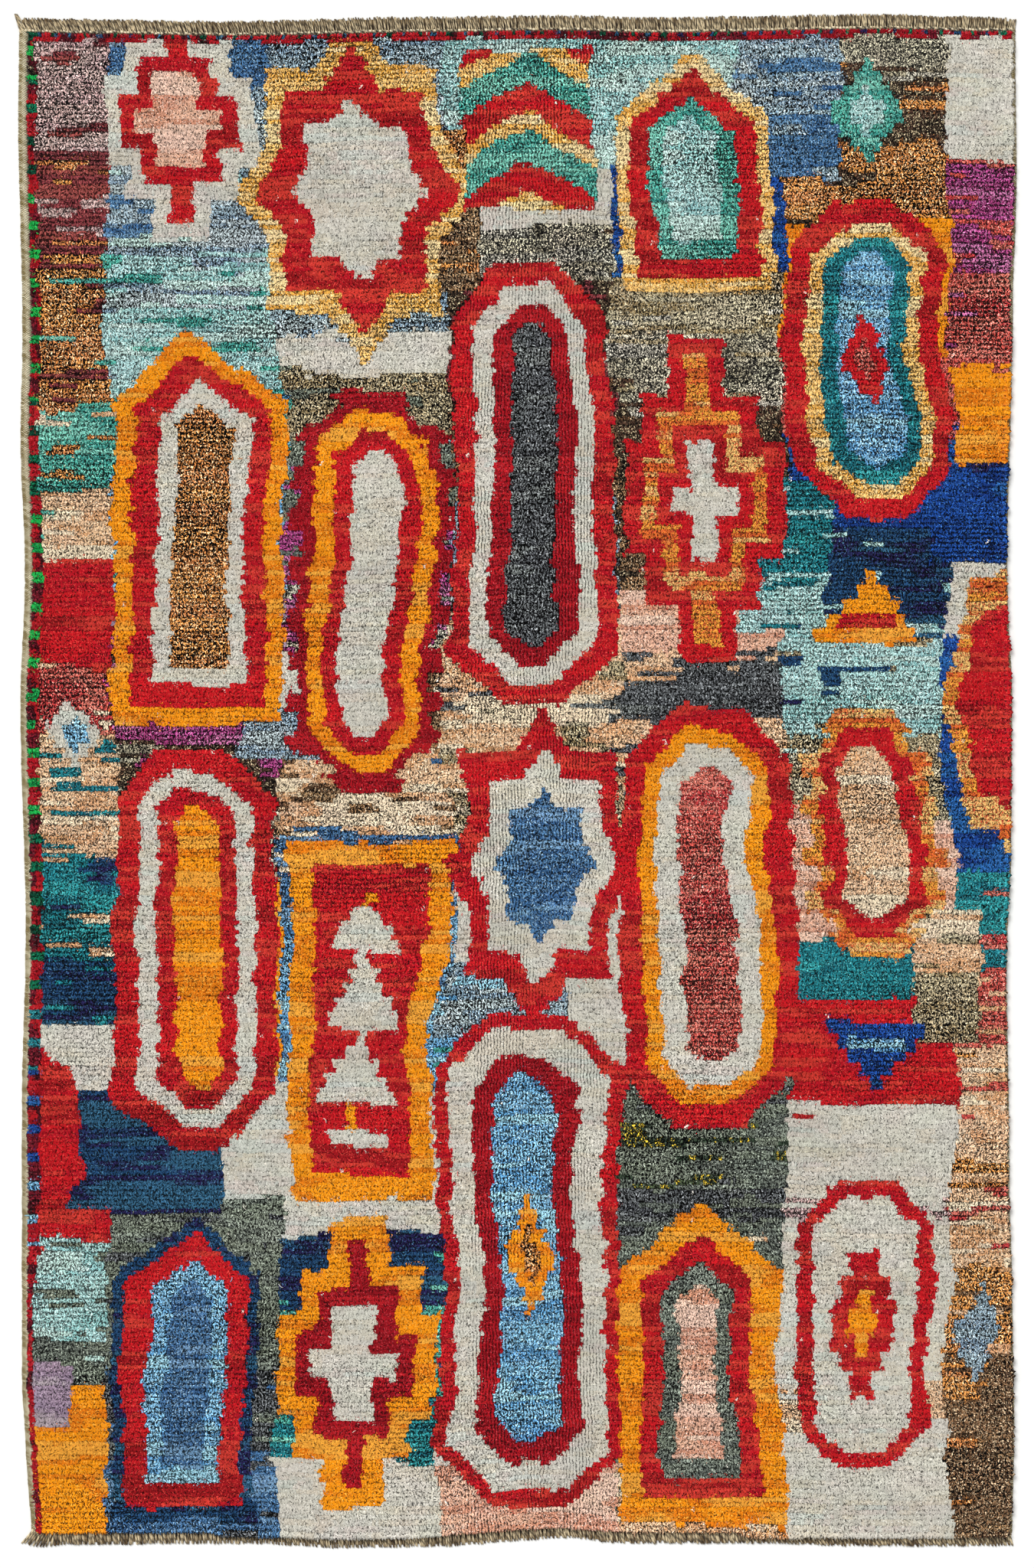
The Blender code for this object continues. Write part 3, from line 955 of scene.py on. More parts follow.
@dataclass(frozen=True)
class CutPileWool:
    """Hand-spun, hand-dyed wool, knotted and cut to an open pile.

    The eye sees the cut ends and sides of single strands. Small dark spots and dashes of painted shade show
    where it looks down between them, most of them along the rows, and a soft sheen lies on it at a low angle.
    Wool's IOR is about 1.55, and its fuzz leaves no clear highlight. In swing, gain, spots and shadow, the
    first number is a closed pile's value, and the second is what is added to it for an open one.

    Attributes:
        ior: index of refraction.
        sheen: how much the loose fibres light up at a low angle.
        gloss: specular level, well under a plain dielectric's, as the gaps swallow most of the gleam.
        rough: roughness of the smoothest strands and of the fuzziest.
        bump: how far a strand stands up out of its gaps.
        swing: how far the strands differ in tone, as a natural logarithm.
        gain: the strands' mean tone.
        spots: how rare the painted dark spots are.
        shadow: how light a spot of painted shade stays.
        furrow: how much more readily the painted spots show in the furrows between the tufts.
        fade: how softly a spot ends.
        spot_size: how much finer than a strand the spots are, across and along.
    """

    ior: float = 1.55
    sheen: float = 0.05
    gloss: float = 0.09
    rough: tuple[float, float] = (0.80, 0.96)
    bump: float = 0.0011
    swing: tuple[float, float] = (0.22, 2.5)
    gain: tuple[float, float] = (0.98, 0.60)
    spots: tuple[float, float] = (0.50, 2.9)
    shadow: tuple[float, float] = (0.22, -0.32)
    furrow: float = 3.4
    fade: float = 0.45
    spot_size: tuple[float, float] = (0.54, 0.34)

    def make(self) -> bpy.types.Material:
        """Build the material, which reads the knots' colours and the strands' own map.

        Returns:
            The material.
        """
        material, tree, shader = new_material("wool_cut_pile")
        strand = add_node(tree, "UVMap", {}, uv_map="Strand")
        names = ("wool", "ply", "depth")
        wool, ply, depth = (add_node(tree, "Attribute", {}, attribute_name=name) for name in names)
        openness = wool.outputs["Alpha"]
        swing, limit, shadow, gain = (
            add_node(tree, "Math", {0: openness, 1: added, 2: closed}, operation="MULTIPLY_ADD")
            for closed, added in (self.swing, self.spots, self.shadow, self.gain)
        )

        # Every strand is a cell of its own, whose luck picks its ply and its tone.
        even = {"Vector": strand, "Scale": 1.0, "Randomness": 1.0}
        cell = add_node(tree, "TexVoronoi", even, voronoi_dimensions="2D")
        luck = add_node(tree, "SeparateColor", {"Color": cell.outputs["Color"]})
        ply_share = ply.outputs["Alpha"]
        other = add_node(tree, "Math", {0: luck.outputs["Red"], 1: ply_share}, operation="LESS_THAN")
        dyed = add_node(tree, "Mix", {"Factor": other, "A": wool, "B": ply}, data_type="RGBA")
        lucky = add_node(tree, "Math", {0: luck.outputs["Green"], 1: 0.5}, operation="SUBTRACT")
        power = add_node(tree, "Math", {0: lucky, 1: swing}, operation="MULTIPLY")
        tone = add_node(tree, "Math", {0: power}, operation="EXPONENT")

        # Dark spots of painted shade show where the eye looks down between strands, most of all in the
        # furrows between two tufts.
        finer = (*self.spot_size, 1.0)
        fine = add_node(tree, "VectorMath", {0: strand, 1: finer}, operation="MULTIPLY")
        dots = {"Vector": fine, "Scale": 1.0, "Detail": 1.0}
        gaps = add_node(tree, "TexNoise", dots, noise_dimensions="2D")
        spread = add_node(tree, "Math", {0: gaps, 1: 10.0, 2: -5.0}, operation="MULTIPLY_ADD")
        hidden = {0: depth.outputs["Fac"], 1: self.furrow, 2: spread}
        stand = add_node(tree, "Math", hidden, operation="MULTIPLY_ADD")
        brim = add_node(tree, "Math", {0: limit, 1: self.fade}, operation="ADD")
        span = {"Value": stand, "From Min": limit, "From Max": brim, "To Min": shadow}
        spot = add_node(tree, "MapRange", span, interpolation_type="SMOOTHSTEP")
        shade = add_node(tree, "Math", {0: tone, 1: spot}, operation="MULTIPLY")
        shade = add_node(tree, "Math", {0: shade, 1: gain}, operation="MULTIPLY")
        seen = add_node(tree, "VectorMath", {0: dyed.outputs["Result"], "Scale": shade}, operation="SCALE")

        fibres = {"Vector": strand, "Scale": 5.0, "Detail": 2.0}
        fibre = add_node(tree, "TexNoise", fibres, noise_dimensions="2D")
        smooth, fuzzy = self.rough
        fuzz = add_node(tree, "MapRange", {"Value": fibre, "To Min": smooth, "To Max": fuzzy})
        fall = {"Value": cell.outputs["Distance"], "To Min": 1.0, "To Max": 0.0}
        round_top = add_node(tree, "MapRange", fall)
        relief = add_node(tree, "Math", {0: fibre, 1: 0.25, 2: round_top}, operation="MULTIPLY_ADD")
        bump = add_node(tree, "Bump", {"Height": relief, "Strength": 0.85, "Distance": self.bump})
        surface = {"Base Color": seen, "Roughness": fuzz, "Normal": bump, "IOR": self.ior}
        fuzziness = {"Specular IOR Level": self.gloss, "Sheen Weight": self.sheen, "Sheen Roughness": 0.45}
        set_inputs(tree, shader, surface | fuzziness)
        return material


@dataclass(frozen=True)
class SpunYarn:
    """Hard-twisted undyed yarn: goat hair and wool, plied and left its own colour.

    The eye sees the ply lines as a fine slant, with painted shade in the grooves between plies, and a dull
    tan that changes from thread to thread.

    Attributes:
        name: the material's name.
        light: sRGB hex of the palest threads.
        dark: sRGB hex of the darkest threads.
        thread: one ply's width in millimetres, drawn wider than its real 0.5 so that it shows.
        groove: how light the painted shade in the groove between two plies stays.
        flecks: tone of the darkest fibres and of the palest.
        ior: index of refraction.
        sheen: how much the loose fibres light up at a low angle.
        gloss: specular level.
        rough: roughness of the smoothest fibres and of the fuzziest.
        bump: how far a ply stands up out of the groove.
    """

    name: str
    light: str
    dark: str
    thread: float = 0.9
    groove: float = 0.06
    flecks: tuple[float, float] = (0.60, 1.30)
    ior: float = 1.55
    sheen: float = 0.15
    gloss: float = 0.25
    rough: tuple[float, float] = (0.78, 0.95)
    bump: float = 0.0008

    def make(self) -> bpy.types.Material:
        """Build the material, which reads each thread's own tone and how many turns it has made.

        Returns:
            The material.
        """
        material, tree, shader = new_material(self.name)
        tone, turns = (add_node(tree, "Attribute", {}, attribute_name=name) for name in ("tone", "turns"))
        place = add_node(tree, "TexCoord", {}).outputs["Object"]
        wear = add_node(tree, "TexNoise", {"Vector": place, "Scale": 90.0, "Detail": 3.0})
        blend = add_node(tree, "Math", {0: wear, 1: 0.7, 2: tone.outputs["Fac"]}, operation="MULTIPLY_ADD")
        share = add_node(tree, "MapRange", {"Value": blend, "From Min": 0.25, "From Max": 1.15})
        ends = {"A": (*linear(self.dark), 1.0), "B": (*linear(self.light), 1.0)}
        colour = add_node(tree, "Mix", {"Factor": share} | ends, data_type="RGBA")

        # Painted shade: each ply lap darkens towards the groove where it meets the next, and the same laps
        # raise the bump.
        lap = add_node(tree, "Math", {0: turns.outputs["Fac"], 1: 1.0}, operation="PINGPONG")
        span = {"From Min": 0.12, "From Max": 0.6, "To Min": self.groove}
        laps = add_node(tree, "MapRange", {"Value": lap} | span)
        per_metre = 1 / (self.thread * MM)
        fibre = add_node(tree, "TexNoise", {"Vector": place, "Scale": per_metre, "Detail": 2.0})
        span = {"From Min": 0.25, "From Max": 0.75, "To Min": self.flecks[0], "To Max": self.flecks[1]}
        fleck = add_node(tree, "MapRange", {"Value": fibre} | span)
        shade = add_node(tree, "Math", {0: fleck, 1: laps}, operation="MULTIPLY")
        dyed = colour.outputs["Result"]
        seen = add_node(tree, "VectorMath", {0: dyed, "Scale": shade}, operation="SCALE")
        fuzz = add_node(tree, "MapRange", {"Value": fibre, "To Min": self.rough[0], "To Max": self.rough[1]})
        relief = add_node(tree, "Math", {0: fibre, 1: 0.4, 2: laps}, operation="MULTIPLY_ADD")
        bump = add_node(tree, "Bump", {"Height": relief, "Strength": 0.8, "Distance": self.bump})
        surface = {"Base Color": seen, "Roughness": fuzz, "Normal": bump, "IOR": self.ior}
        set_inputs(tree, shader, surface | {"Specular IOR Level": self.gloss, "Sheen Weight": self.sheen})
        return material


@dataclass(frozen=True)
class SingleStrandWool:
    """The pile's hand-spun wool, where a strand has worked loose and is seen by itself.

    The eye sees the strand's dyed colour, broken up by fine fibres, and a soft sheen.

    Attributes:
        ior: index of refraction.
        sheen: how much the loose fibres light up at a low angle.
        gloss: specular level.
        rough: roughness of the smoothest fibres and of the fuzziest.
        bump: how far a fibre stands up.
        tone: tone of the darkest fibres and of the palest.
        clumps: clumps of fibres in a metre, fewer than the real 10,000 so that they show.
    """

    ior: float = 1.55
    sheen: float = 0.2
    gloss: float = 0.25
    rough: tuple[float, float] = (0.8, 0.95)
    bump: float = 0.0003
    tone: tuple[float, float] = (0.7, 1.25)
    clumps: float = 900.0

    def make(self) -> bpy.types.Material:
        """Build the material, which reads each strand's colour.

        Returns:
            The material.
        """
        material, tree, shader = new_material("wool_single_strand")
        wool = add_node(tree, "Attribute", {}, attribute_name="wool")
        place = add_node(tree, "TexCoord", {}).outputs["Object"]
        fibre = add_node(tree, "TexNoise", {"Vector": place, "Scale": self.clumps, "Detail": 2.0})
        tone = add_node(tree, "MapRange", {"Value": fibre, "To Min": self.tone[0], "To Max": self.tone[1]})
        seen = add_node(tree, "VectorMath", {0: wool, "Scale": tone}, operation="SCALE")
        fuzz = add_node(tree, "MapRange", {"Value": fibre, "To Min": self.rough[0], "To Max": self.rough[1]})
        bump = add_node(tree, "Bump", {"Height": fibre, "Strength": 0.6, "Distance": self.bump})
        surface = {"Base Color": seen, "Roughness": fuzz, "Normal": bump, "IOR": self.ior}
        set_inputs(tree, shader, surface | {"Specular IOR Level": self.gloss, "Sheen Weight": self.sheen})
        return material


@dataclass(frozen=True)
class MattFloorPaint:
    """Matt emulsion paint, rolled smooth: a plain near white without a reflection.

    Attributes:
        colour: sRGB hex.
        gloss: specular level.
        rough: roughness where the roller left most paint and where it left least.
        marks: the roller's marks in a metre.
    """

    colour: str = "#F4F4F2"
    gloss: float = 0.1
    rough: tuple[float, float] = (0.85, 0.95)
    marks: float = 12.0

    def make(self) -> bpy.types.Material:
        """Build the material.

        Returns:
            The material.
        """
        material, tree, shader = new_material("matt_floor_paint")
        place = add_node(tree, "TexCoord", {}).outputs["Object"]
        grain = add_node(tree, "TexNoise", {"Vector": place, "Scale": self.marks, "Detail": 2.0})
        rough = add_node(tree, "MapRange", {"Value": grain, "To Min": self.rough[0], "To Max": self.rough[1]})
        surface = {"Roughness": rough, "Base Color": (*linear(self.colour), 1.0)}
        set_inputs(tree, shader, surface | {"Specular IOR Level": self.gloss})
        return material


# --------------------------------------------------------------------------- the pieces


@dataclass
class KnottedPile:
    """The pile: a low mound for every knot, in strips that share one relief.

    Attributes:
        cloth: the worked design.
        plan: the rug's outlines.
        top: height of the tallest tufts.
        strips: how many pieces the pile is cut into.
        row_dip: depth of the furrow between two rows.
        column_dip: depth of the furrow between two tufts of a row.
        strand: a strand's width and visible length.
        ribs: X of the strip down the middle where the tufts close up into upright ribs.
        rim: height of the tufts that bend out over the edges.
        seed: for every random choice.
        pieces: the strips, from the bottom end.
    """

    cloth: Cloth
    plan: Plan
    top: float
    strips: int = 5
    row_dip: float = 0.0030
    column_dip: float = 0.0017
    strand: tuple[float, float] = (0.0014, 0.0024)
    ribs: tuple[float, float] = (-0.115, 0.190)
    rim: float = 0.0132
    seed: int = 5
    pieces: list[bpy.types.Object] = field(default_factory=list)

    def relief(self) -> tuple[Array, Array]:
        """Shape the whole pile.

        Returns:
            Places of all points by row and column, and for each a value that sets the painted shade: 1 on
            top of a tuft, and less in the furrows, where the shader paints dark spots. The outermost ring
            of points is the pile's foot, tucked in under its rim.
        """
        rng = np.random.default_rng(self.seed)
        columns, rows = 2 * self.cloth.across, 2 * self.cloth.along
        i, j = np.meshgrid(np.arange(-1, columns + 2), np.arange(-1, rows + 2))
        s, t = (i / columns).clip(0, 1), (j / rows).clip(0, 1)
        shape = i.shape
        odd_i, odd_j = i % 2 == 1, j % 2 == 1
        x, y = self.hang_over(s, t, odd_i, odd_j, rng)

        # Rows of knots sway up and down. In a closed pile down the middle, tufts make upright ribs instead.
        inner = (np.minimum(t, 1 - t) * 40).clip(0, 1)
        sway = 0.0060 * patches(x, y, 0.11, 0.06, 21) + 0.0020 * patches(x, y, 0.035, 0.05, 20)
        y = y + inner * (sway - 0.0040)
        knot = ((j // 2).clip(0, self.cloth.along - 1), (i // 2).clip(0, self.cloth.across - 1))
        wool = self.cloth.wool[knot]
        soft = ((x - self.ribs[0]) / 0.03).clip(0, 1) * ((self.ribs[1] - x) / 0.03).clip(0, 1)
        closed = np.array([1 - 1.3 * kind.value.gaps for kind in WOOLS])[wool].clip(0.1, 1)
        ribbed = soft * closed * ((patches(x, y, 0.035, 0.12, 24) - 0.34) * 4).clip(0, 1)
        free = 1 - 0.65 * ribbed
        rows_apart = patches(x, j * 1.0, 0.05, 1.7, 27) - 0.5
        x = x + free * 0.0075 * rows_apart + 0.0014 * (patches(x, y, 0.7, 0.011, 22) - 0.5)
        x = x + free * rng.normal(0, 0.00080, shape)
        y = y + inner * rng.normal(0, 0.00085, shape)
        peak = odd_i & odd_j
        lean = patches(x, y, 0.2, 0.1, 23) - 0.5
        x = x + peak * (rng.normal(0, 0.0005, shape) + 0.0012 * lean)
        y = y + peak * (rng.normal(0, 0.0006, shape) - 0.0007)

        # A tuft stands highest in its middle, and the furrows round it are deeper in some places.
        body = 0.7 + 0.7 * patches(x, y, 0.12, 0.06, 25)
        row_dip = self.row_dip * body * (1 - 0.80 * ribbed)
        column_dip = self.column_dip * body * (1 + 1.1 * ribbed)
        dip = np.where(odd_j, 0.0, row_dip) + np.where(odd_i, 0.0, column_dip)
        # Painted shade: the shade value drops in the furrows between rows, as far as the wool's rows value
        # says, and between tufts, most of all between upright ribs.
        furrows = np.array([kind.value.rows for kind in WOOLS])[wool]
        row_shade = furrows * (0.35 + 0.95 * patches(x, y, 0.16, 0.07, 28)) * (1 - 0.75 * ribbed)
        height = 1 - np.where(odd_j, 0.0, row_shade) + np.where(odd_i, 0.9 * ribbed, -0.30 - 0.90 * ribbed)
        swell = 0.0010 * (patches(x, y, 0.45, 0.35, 26) - 0.5)
        z = self.top - 0.0016 + swell - dip + peak * rng.normal(0, 0.0006, shape)
        z = z + (~peak) * rng.normal(0, 0.0003, shape)

        # Over the last knot the pile rounds down to its rim, and its foot is tucked in below.
        reach = np.minimum.reduce([s * columns, (1 - s) * columns, t * rows, (1 - t) * rows]) / 2
        z = self.rim + (z - self.rim) * np.sin(reach.clip(0, 1) * math.pi / 2)
        foot = (i < 0) | (j < 0) | (i > columns) | (j > rows)
        z = np.where(foot, 0.0012, z)
        x = x + np.where(i < 0, 0.006, 0) - np.where(i > columns, 0.006, 0)
        y = y + np.where(j < 0, 0.008, 0) - np.where(j > rows, 0.004, 0)
        return np.stack([x, y, z], -1), height.clip(-0.3, 2)

    def hang_over(
        self, s: Array, t: Array, odd_i: Array, odd_j: Array, rng: np.random.Generator
    ) -> tuple[Array, Array]:
        """Place the pile's points in plan, with the outer tufts bent out over the edges like uneven teeth.

        Args:
            s: each point's share across.
            t: each point's share up.
            odd_i: whether it is in the middle of a tuft, going across.
            odd_j: whether it is in the middle of a row.
            rng: the pile's random choices.

        Returns:
            X and Y of each point.
        """
        columns, rows = 2 * self.cloth.across, 2 * self.cloth.along
        x, y = self.plan.field_point(s, t)
        left, right = overhang(Side.LEFT, y), overhang(Side.RIGHT, y)
        bottom, up = overhang(End.BOTTOM, x), overhang(End.TOP, x)
        tooth = np.where(odd_j, 0.0022, -0.0008) + rng.uniform(-0.0014, 0.0014, s.shape)
        near_left, near_right = (1 - s * columns / 3).clip(0, 1), (1 - (1 - s) * columns / 3).clip(0, 1)
        x = x - near_left * (left + 0.6 * tooth) + near_right * (right + tooth)
        tooth = np.where(odd_i, 0.0028, -0.0010) + rng.uniform(-0.0018, 0.0018, s.shape)
        near_bottom, near_top = (1 - t * rows / 6).clip(0, 1), (1 - (1 - t) * rows / 3).clip(0, 1)
        return x, y - near_bottom * (bottom + tooth) + near_top * (up + tooth * 0.6)

    def build(self) -> "KnottedPile":
        """Build the strips, with their colours and maps.

        Returns:
            The pile itself.
        """
        points, height = self.relief()
        own, other = self.cloth.colours()
        rng = np.random.default_rng(self.seed + 1)
        slant = rng.normal(0, 0.9, self.cloth.wool.shape)
        start = rng.random(self.cloth.wool.shape + (2,)) * 400
        rows, columns = points.shape[:2]
        knot_i = ((np.arange(columns - 1) - 1) // 2).clip(0, self.cloth.across - 1)
        cuts = np.linspace(0, self.cloth.along, self.strips + 1).round().astype(int) * 2 + 1
        cuts[0], cuts[-1] = 0, rows - 1
        for number, (low, high) in enumerate(zip(cuts, cuts[1:])):
            part = points[low : high + 1]
            quads = grid_quads(high + 1 - low, columns)
            strip = mesh_object(f"pile_strip_{number + 1}", part, quads)
            knot_j = ((np.arange(low, high) - 1) // 2).clip(0, self.cloth.along - 1)
            pick = np.ix_(knot_j, knot_i)
            corners = quads.reshape(-1, 4)

            # Each tuft's strands have a slant and a place in the pattern of their own.
            x, y = np.moveaxis(part.reshape(-1, 3)[corners][..., :2], -1, 0)
            turn = slant[pick].reshape(-1, 1)
            across = x * np.cos(turn) + y * np.sin(turn)
            along = y * np.cos(turn) - x * np.sin(turn)
            strands = np.stack([across / self.strand[0], along / self.strand[1]], -1)
            give_map(strip, "Strand", strands + start[pick].reshape(-1, 1, 2))
            spread = np.meshgrid(np.linspace(0, 1, columns), np.linspace(0, 1, high + 1 - low))
            give_map(strip, "OFBake", np.stack(spread, -1).reshape(-1, 2)[corners])
            give_colour(strip, "wool", own[pick])
            give_colour(strip, "ply", other[pick])
            # The furrows' painted shade is read from this value in the pile's shader.
            give_value(strip, "depth", height[low : high + 1])
            self.pieces.append(strip)
        return self

    def dress(self, finish: bpy.types.Material) -> None:
        """Give every strip its wool, and set it on the rug in place of the CAD pile.

        Args:
            finish: its material.
        """
        for strip in self.pieces:
            strip.data.materials.append(finish)
            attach(strip, "root")
            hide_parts("pile")


@dataclass
class Foundation:
    """The woven ground that the knots are tied on: a thin cloth under the whole rug.

    Attributes:
        plan: the rug's outlines.
        underside: how far off the floor it lies.
        upper: height of its top face.
        weft: from one weft thread to the next, drawn wider than the real 2 mm so that it shows.
        cells: how many cells it has across and along.
        piece: the cloth, once it is built.
    """

    plan: Plan
    underside: float = 0.0004
    upper: float = 0.0032
    weft: float = 0.004
    cells: tuple[int, int] = (24, 36)
    piece: bpy.types.Object | None = None

    def build(self) -> "Foundation":
        """Build the cloth as a closed sheet.

        Returns:
            The foundation itself.
        """
        nx, ny = self.cells
        s, t = np.meshgrid(np.linspace(0, 1, nx + 1), np.linspace(0, 1, ny + 1))
        x, y = self.plan.field_point(s, t)
        points = np.stack([np.stack([x, y, np.full(x.shape, z)], -1) for z in (self.underside, self.upper)])
        count = x.size
        upper = grid_quads(ny + 1, nx + 1).reshape(-1, 4) + count
        lower = grid_quads(ny + 1, nx + 1).reshape(-1, 4)[:, ::-1]
        number = np.arange(count).reshape(ny + 1, nx + 1)
        loop = np.concatenate([number[0, :-1], number[:-1, -1], number[-1, :0:-1], number[:0:-1, 0]])
        after = np.roll(loop, -1)
        rim = np.stack([loop, after, after + count, loop + count], -1)
        quads = np.concatenate([upper, lower, rim])
        self.piece = mesh_object("foundation_cloth", points, quads, smooth=False)
        give_value(self.piece, "tone", np.full(2 * count, 0.5))
        give_value(self.piece, "turns", points[..., 1] / self.weft)
        return self

    def dress(self, finish: bpy.types.Material) -> None:
        """Give the cloth its yarn, and set it on the rug.

        Args:
            finish: its material.
        """
        self.piece.data.materials.append(finish)
        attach(self.piece, "root")
        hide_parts("pile")


@dataclass
class Threads:
    """A bundle of tapered threads, all built as one mesh.

    Attributes:
        name: the piece's name.
        paths: centre lines, by thread and station.
        radii: a radius for each station.
        sides: how many sides a thread has.
        twist: turns of its plies in a metre, or 0 for a plain thread.
    """

    name: str
    paths: Array
    radii: Array
    sides: int = 6
    twist: float = 0.0

    def run(self) -> Array:
        """How far along its thread each station lies."""
        steps = np.diff(self.paths, axis=1, prepend=self.paths[:, :1])
        return np.cumsum(np.linalg.norm(steps, axis=-1), axis=1)

    def build(self) -> bpy.types.Object:
        """Build the bundle, with a map that gives every thread its own cell.

        Returns:
            The new object.
        """
        count, stations = self.radii.shape
        ahead = np.gradient(self.paths, axis=1)
        ahead /= np.linalg.norm(ahead, axis=-1, keepdims=True)
        side = np.cross(ahead, (0.0, 0.0, 1.0))
        side /= np.linalg.norm(side, axis=-1, keepdims=True) + 1e-9
        over = np.cross(side, ahead)
        turn = np.arange(self.sides) * 2 * math.pi / self.sides
        two_plies = 0.13 if self.twist else 0.0
        ply = 1 + two_plies * np.cos(2 * turn - 2 * math.pi * self.twist * self.run()[..., None])
        reach = (self.radii[..., None] * ply)[..., None]
        ring = side[:, :, None] * np.cos(turn)[:, None] + over[:, :, None] * np.sin(turn)[:, None]
        points = self.paths[:, :, None] + ring * reach
        station = np.arange(count * stations).reshape(count, stations)[:, :-1, None] * self.sides
        here = station + np.arange(self.sides)
        beside = station + np.roll(np.arange(self.sides), -1)
        quads = np.stack([here, here + self.sides, beside + self.sides, beside], -1)
        obj = mesh_object(self.name, points, quads)
        across = math.ceil(math.sqrt(count))
        cell = np.arange(count)[:, None, None, None]
        u = (np.arange(self.sides)[:, None] + np.array([0, 0, 1, 1])) / self.sides
        v = (np.arange(stations - 1)[:, None, None] + np.array([0, 1, 1, 0])) / (stations - 1)
        places = (cell % across + 0.04 + 0.92 * u) / across, (cell // across + 0.04 + 0.92 * v) / across
        give_map(obj, "OFBake", np.stack(np.broadcast_arrays(*places), -1))
        return obj

    def turns(self) -> Array:
        """Count the ply laps that pass each point, round and along its thread.

        Returns:
            A number for every point.
        """
        count = len(self.radii)
        around = np.abs(np.arange(self.sides) / self.sides - 0.5) * 2
        first = np.random.default_rng(count).uniform(0, 2, (count, 1, 1))
        return around + 2 * self.twist * self.run()[..., None] + first

    def per_thread(self, values: Array) -> Array:
        """Repeat one value or row per thread for all its faces."""
        return np.repeat(values, (self.radii.shape[1] - 1) * self.sides, axis=0)


@dataclass
class WarpFringe:
    """The warp ends at one end of the rug, twisted into short cords.

    Attributes:
        plan: the rug's outlines.
        end: which end.
        pitch: from cord to cord.
        radius: a cord's radius at its root.
        lean: how far the tips stand to the left of their roots, at the left and right side of the rug.
        reach: how far the tips stand past the CAD ones, as shares of the width and distances.
        stray: how far single tips lie off to a side.
        back: how far in under the pile the cords start.
        astray: how far off its line a CAD tip at the top has to lie for the cords near it to be tied to it.
        seed: for every random choice.
        piece: the cords, once they are built.
    """

    plan: Plan
    end: End
    pitch: float
    radius: float
    lean: tuple[float, float] = (0.0, -0.009)
    reach: tuple[Sequence[float], Sequence[float]] = (
        (0.0, 0.03, 0.30, 0.50, 1.0),
        (0.0, 0.0036, 0.0036, 0.0016, 0.0010),
    )
    stray: float = 0.0018
    back: float = 0.004
    astray: float = 0.005
    seed: int = 9
    piece: bpy.types.Object | None = None

    def build(self) -> "WarpFringe":
        """Build the cords.

        Returns:
            The fringe itself.
        """
        rng = np.random.default_rng(self.seed + self.end.value)
        name = "fringe_top" if self.end is End.TOP else "fringe_bottom"
        tips = self.plan.tips[self.end]
        wing = [self.plan.cord_sides[side].out[-1 if self.end is End.TOP else 0] for side in Side]
        count = round((wing[1] - wing[0]) / self.pitch)
        share = (np.arange(count) + 0.5) / count
        root_x = wing[0] + share * (wing[1] - wing[0]) + rng.normal(0, 0.0004, count)

        # The tips follow the line of the straight CAD ones. Cords near a CAD tip that strays are tied to it.
        strand_share = (np.arange(len(tips)) + 0.5) / len(tips)
        offset = tips[:, 0] - (wing[0] + strand_share * (wing[1] - wing[0]))
        kept = (np.abs(offset) < self.astray) | (self.end is End.BOTTOM)
        nearest = (share * len(tips)).astype(int)
        tied = ~kept[nearest]
        tip_x = root_x + np.interp(share, strand_share[kept], offset[kept])
        tip_x = tip_x - np.interp(share, (0, 1), self.lean)
        tip_x = np.where(tied, tips[nearest, 0], tip_x) + rng.normal(0, self.stray, count)
        reach = np.where(tied, 0.0, np.interp(share, *self.reach)) + rng.normal(0, 0.0006, count)
        tip_y = np.where(tied, tips[nearest, 1], np.interp(share, strand_share[kept], tips[kept, 1]))
        tip_y = tip_y + self.end.value * reach
        locked = tied | (np.abs(tip_x - root_x) > 0.009) & (share < 0.03)
        root_y = self.plan.pile_ends[self.end].at(root_x) - self.end.value * self.back

        # Each cord bows a little, sinks to the floor, and swells to its knot before it thins out.
        k = np.array([0, 0.16, 0.32, 0.48, 0.64, 0.79, 0.90, 0.97, 1.0])
        bow = rng.normal(0, 0.0007, (count, 1)) * np.sin(math.pi * k)
        x = root_x[:, None] + (tip_x - root_x)[:, None] * k**1.2 + bow
        y = root_y[:, None] + (tip_y - root_y)[:, None] * k
        z = 0.0045 * (1 - k) + 0.0026 * k + rng.normal(0, 0.0004, (count, 1)) * k
        if self.end is End.TOP:
            girth = np.array([0.80, 0.80, 0.84, 0.90, 0.96, 1.04, 1.10, 1.00, 0.60])
        else:
            girth = np.array([0.80, 0.84, 0.90, 0.96, 1.00, 1.04, 1.02, 0.85, 0.40])
        girth = np.where(locked[:, None], np.linspace(1.05, 0.55, k.size), girth)
        loose = 0.66 + 0.52 * patches(root_x, root_x * 0, 0.14, 1.0, 39)[:, None]
        radii = self.radius * girth * loose * rng.uniform(0.86, 1.10, (count, 1))
        z = np.maximum(z, 1.15 * radii + 0.0002)
        bundle = Threads(f"{name}_cords", np.stack([x, y, z], -1), radii, sides=6, twist=62.0)
        self.piece = bundle.build()
        fade = np.repeat(0.45 - 0.65 * k[:-1], bundle.sides)[None, :]
        give_value(self.piece, "tone", 0.8 * rng.random((count, 1)) - 0.1 + fade, "FACE")
        give_value(self.piece, "turns", bundle.turns())
        return self

    def dress(self, finish: bpy.types.Material) -> None:
        """Give the cords their yarn, and set them on the rug in place of the CAD fringe.

        Args:
            finish: their material.
        """
        self.piece.data.materials.append(finish)
        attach(self.piece, "root")
        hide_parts("fringe_top" if self.end is End.TOP else "fringe_bottom")


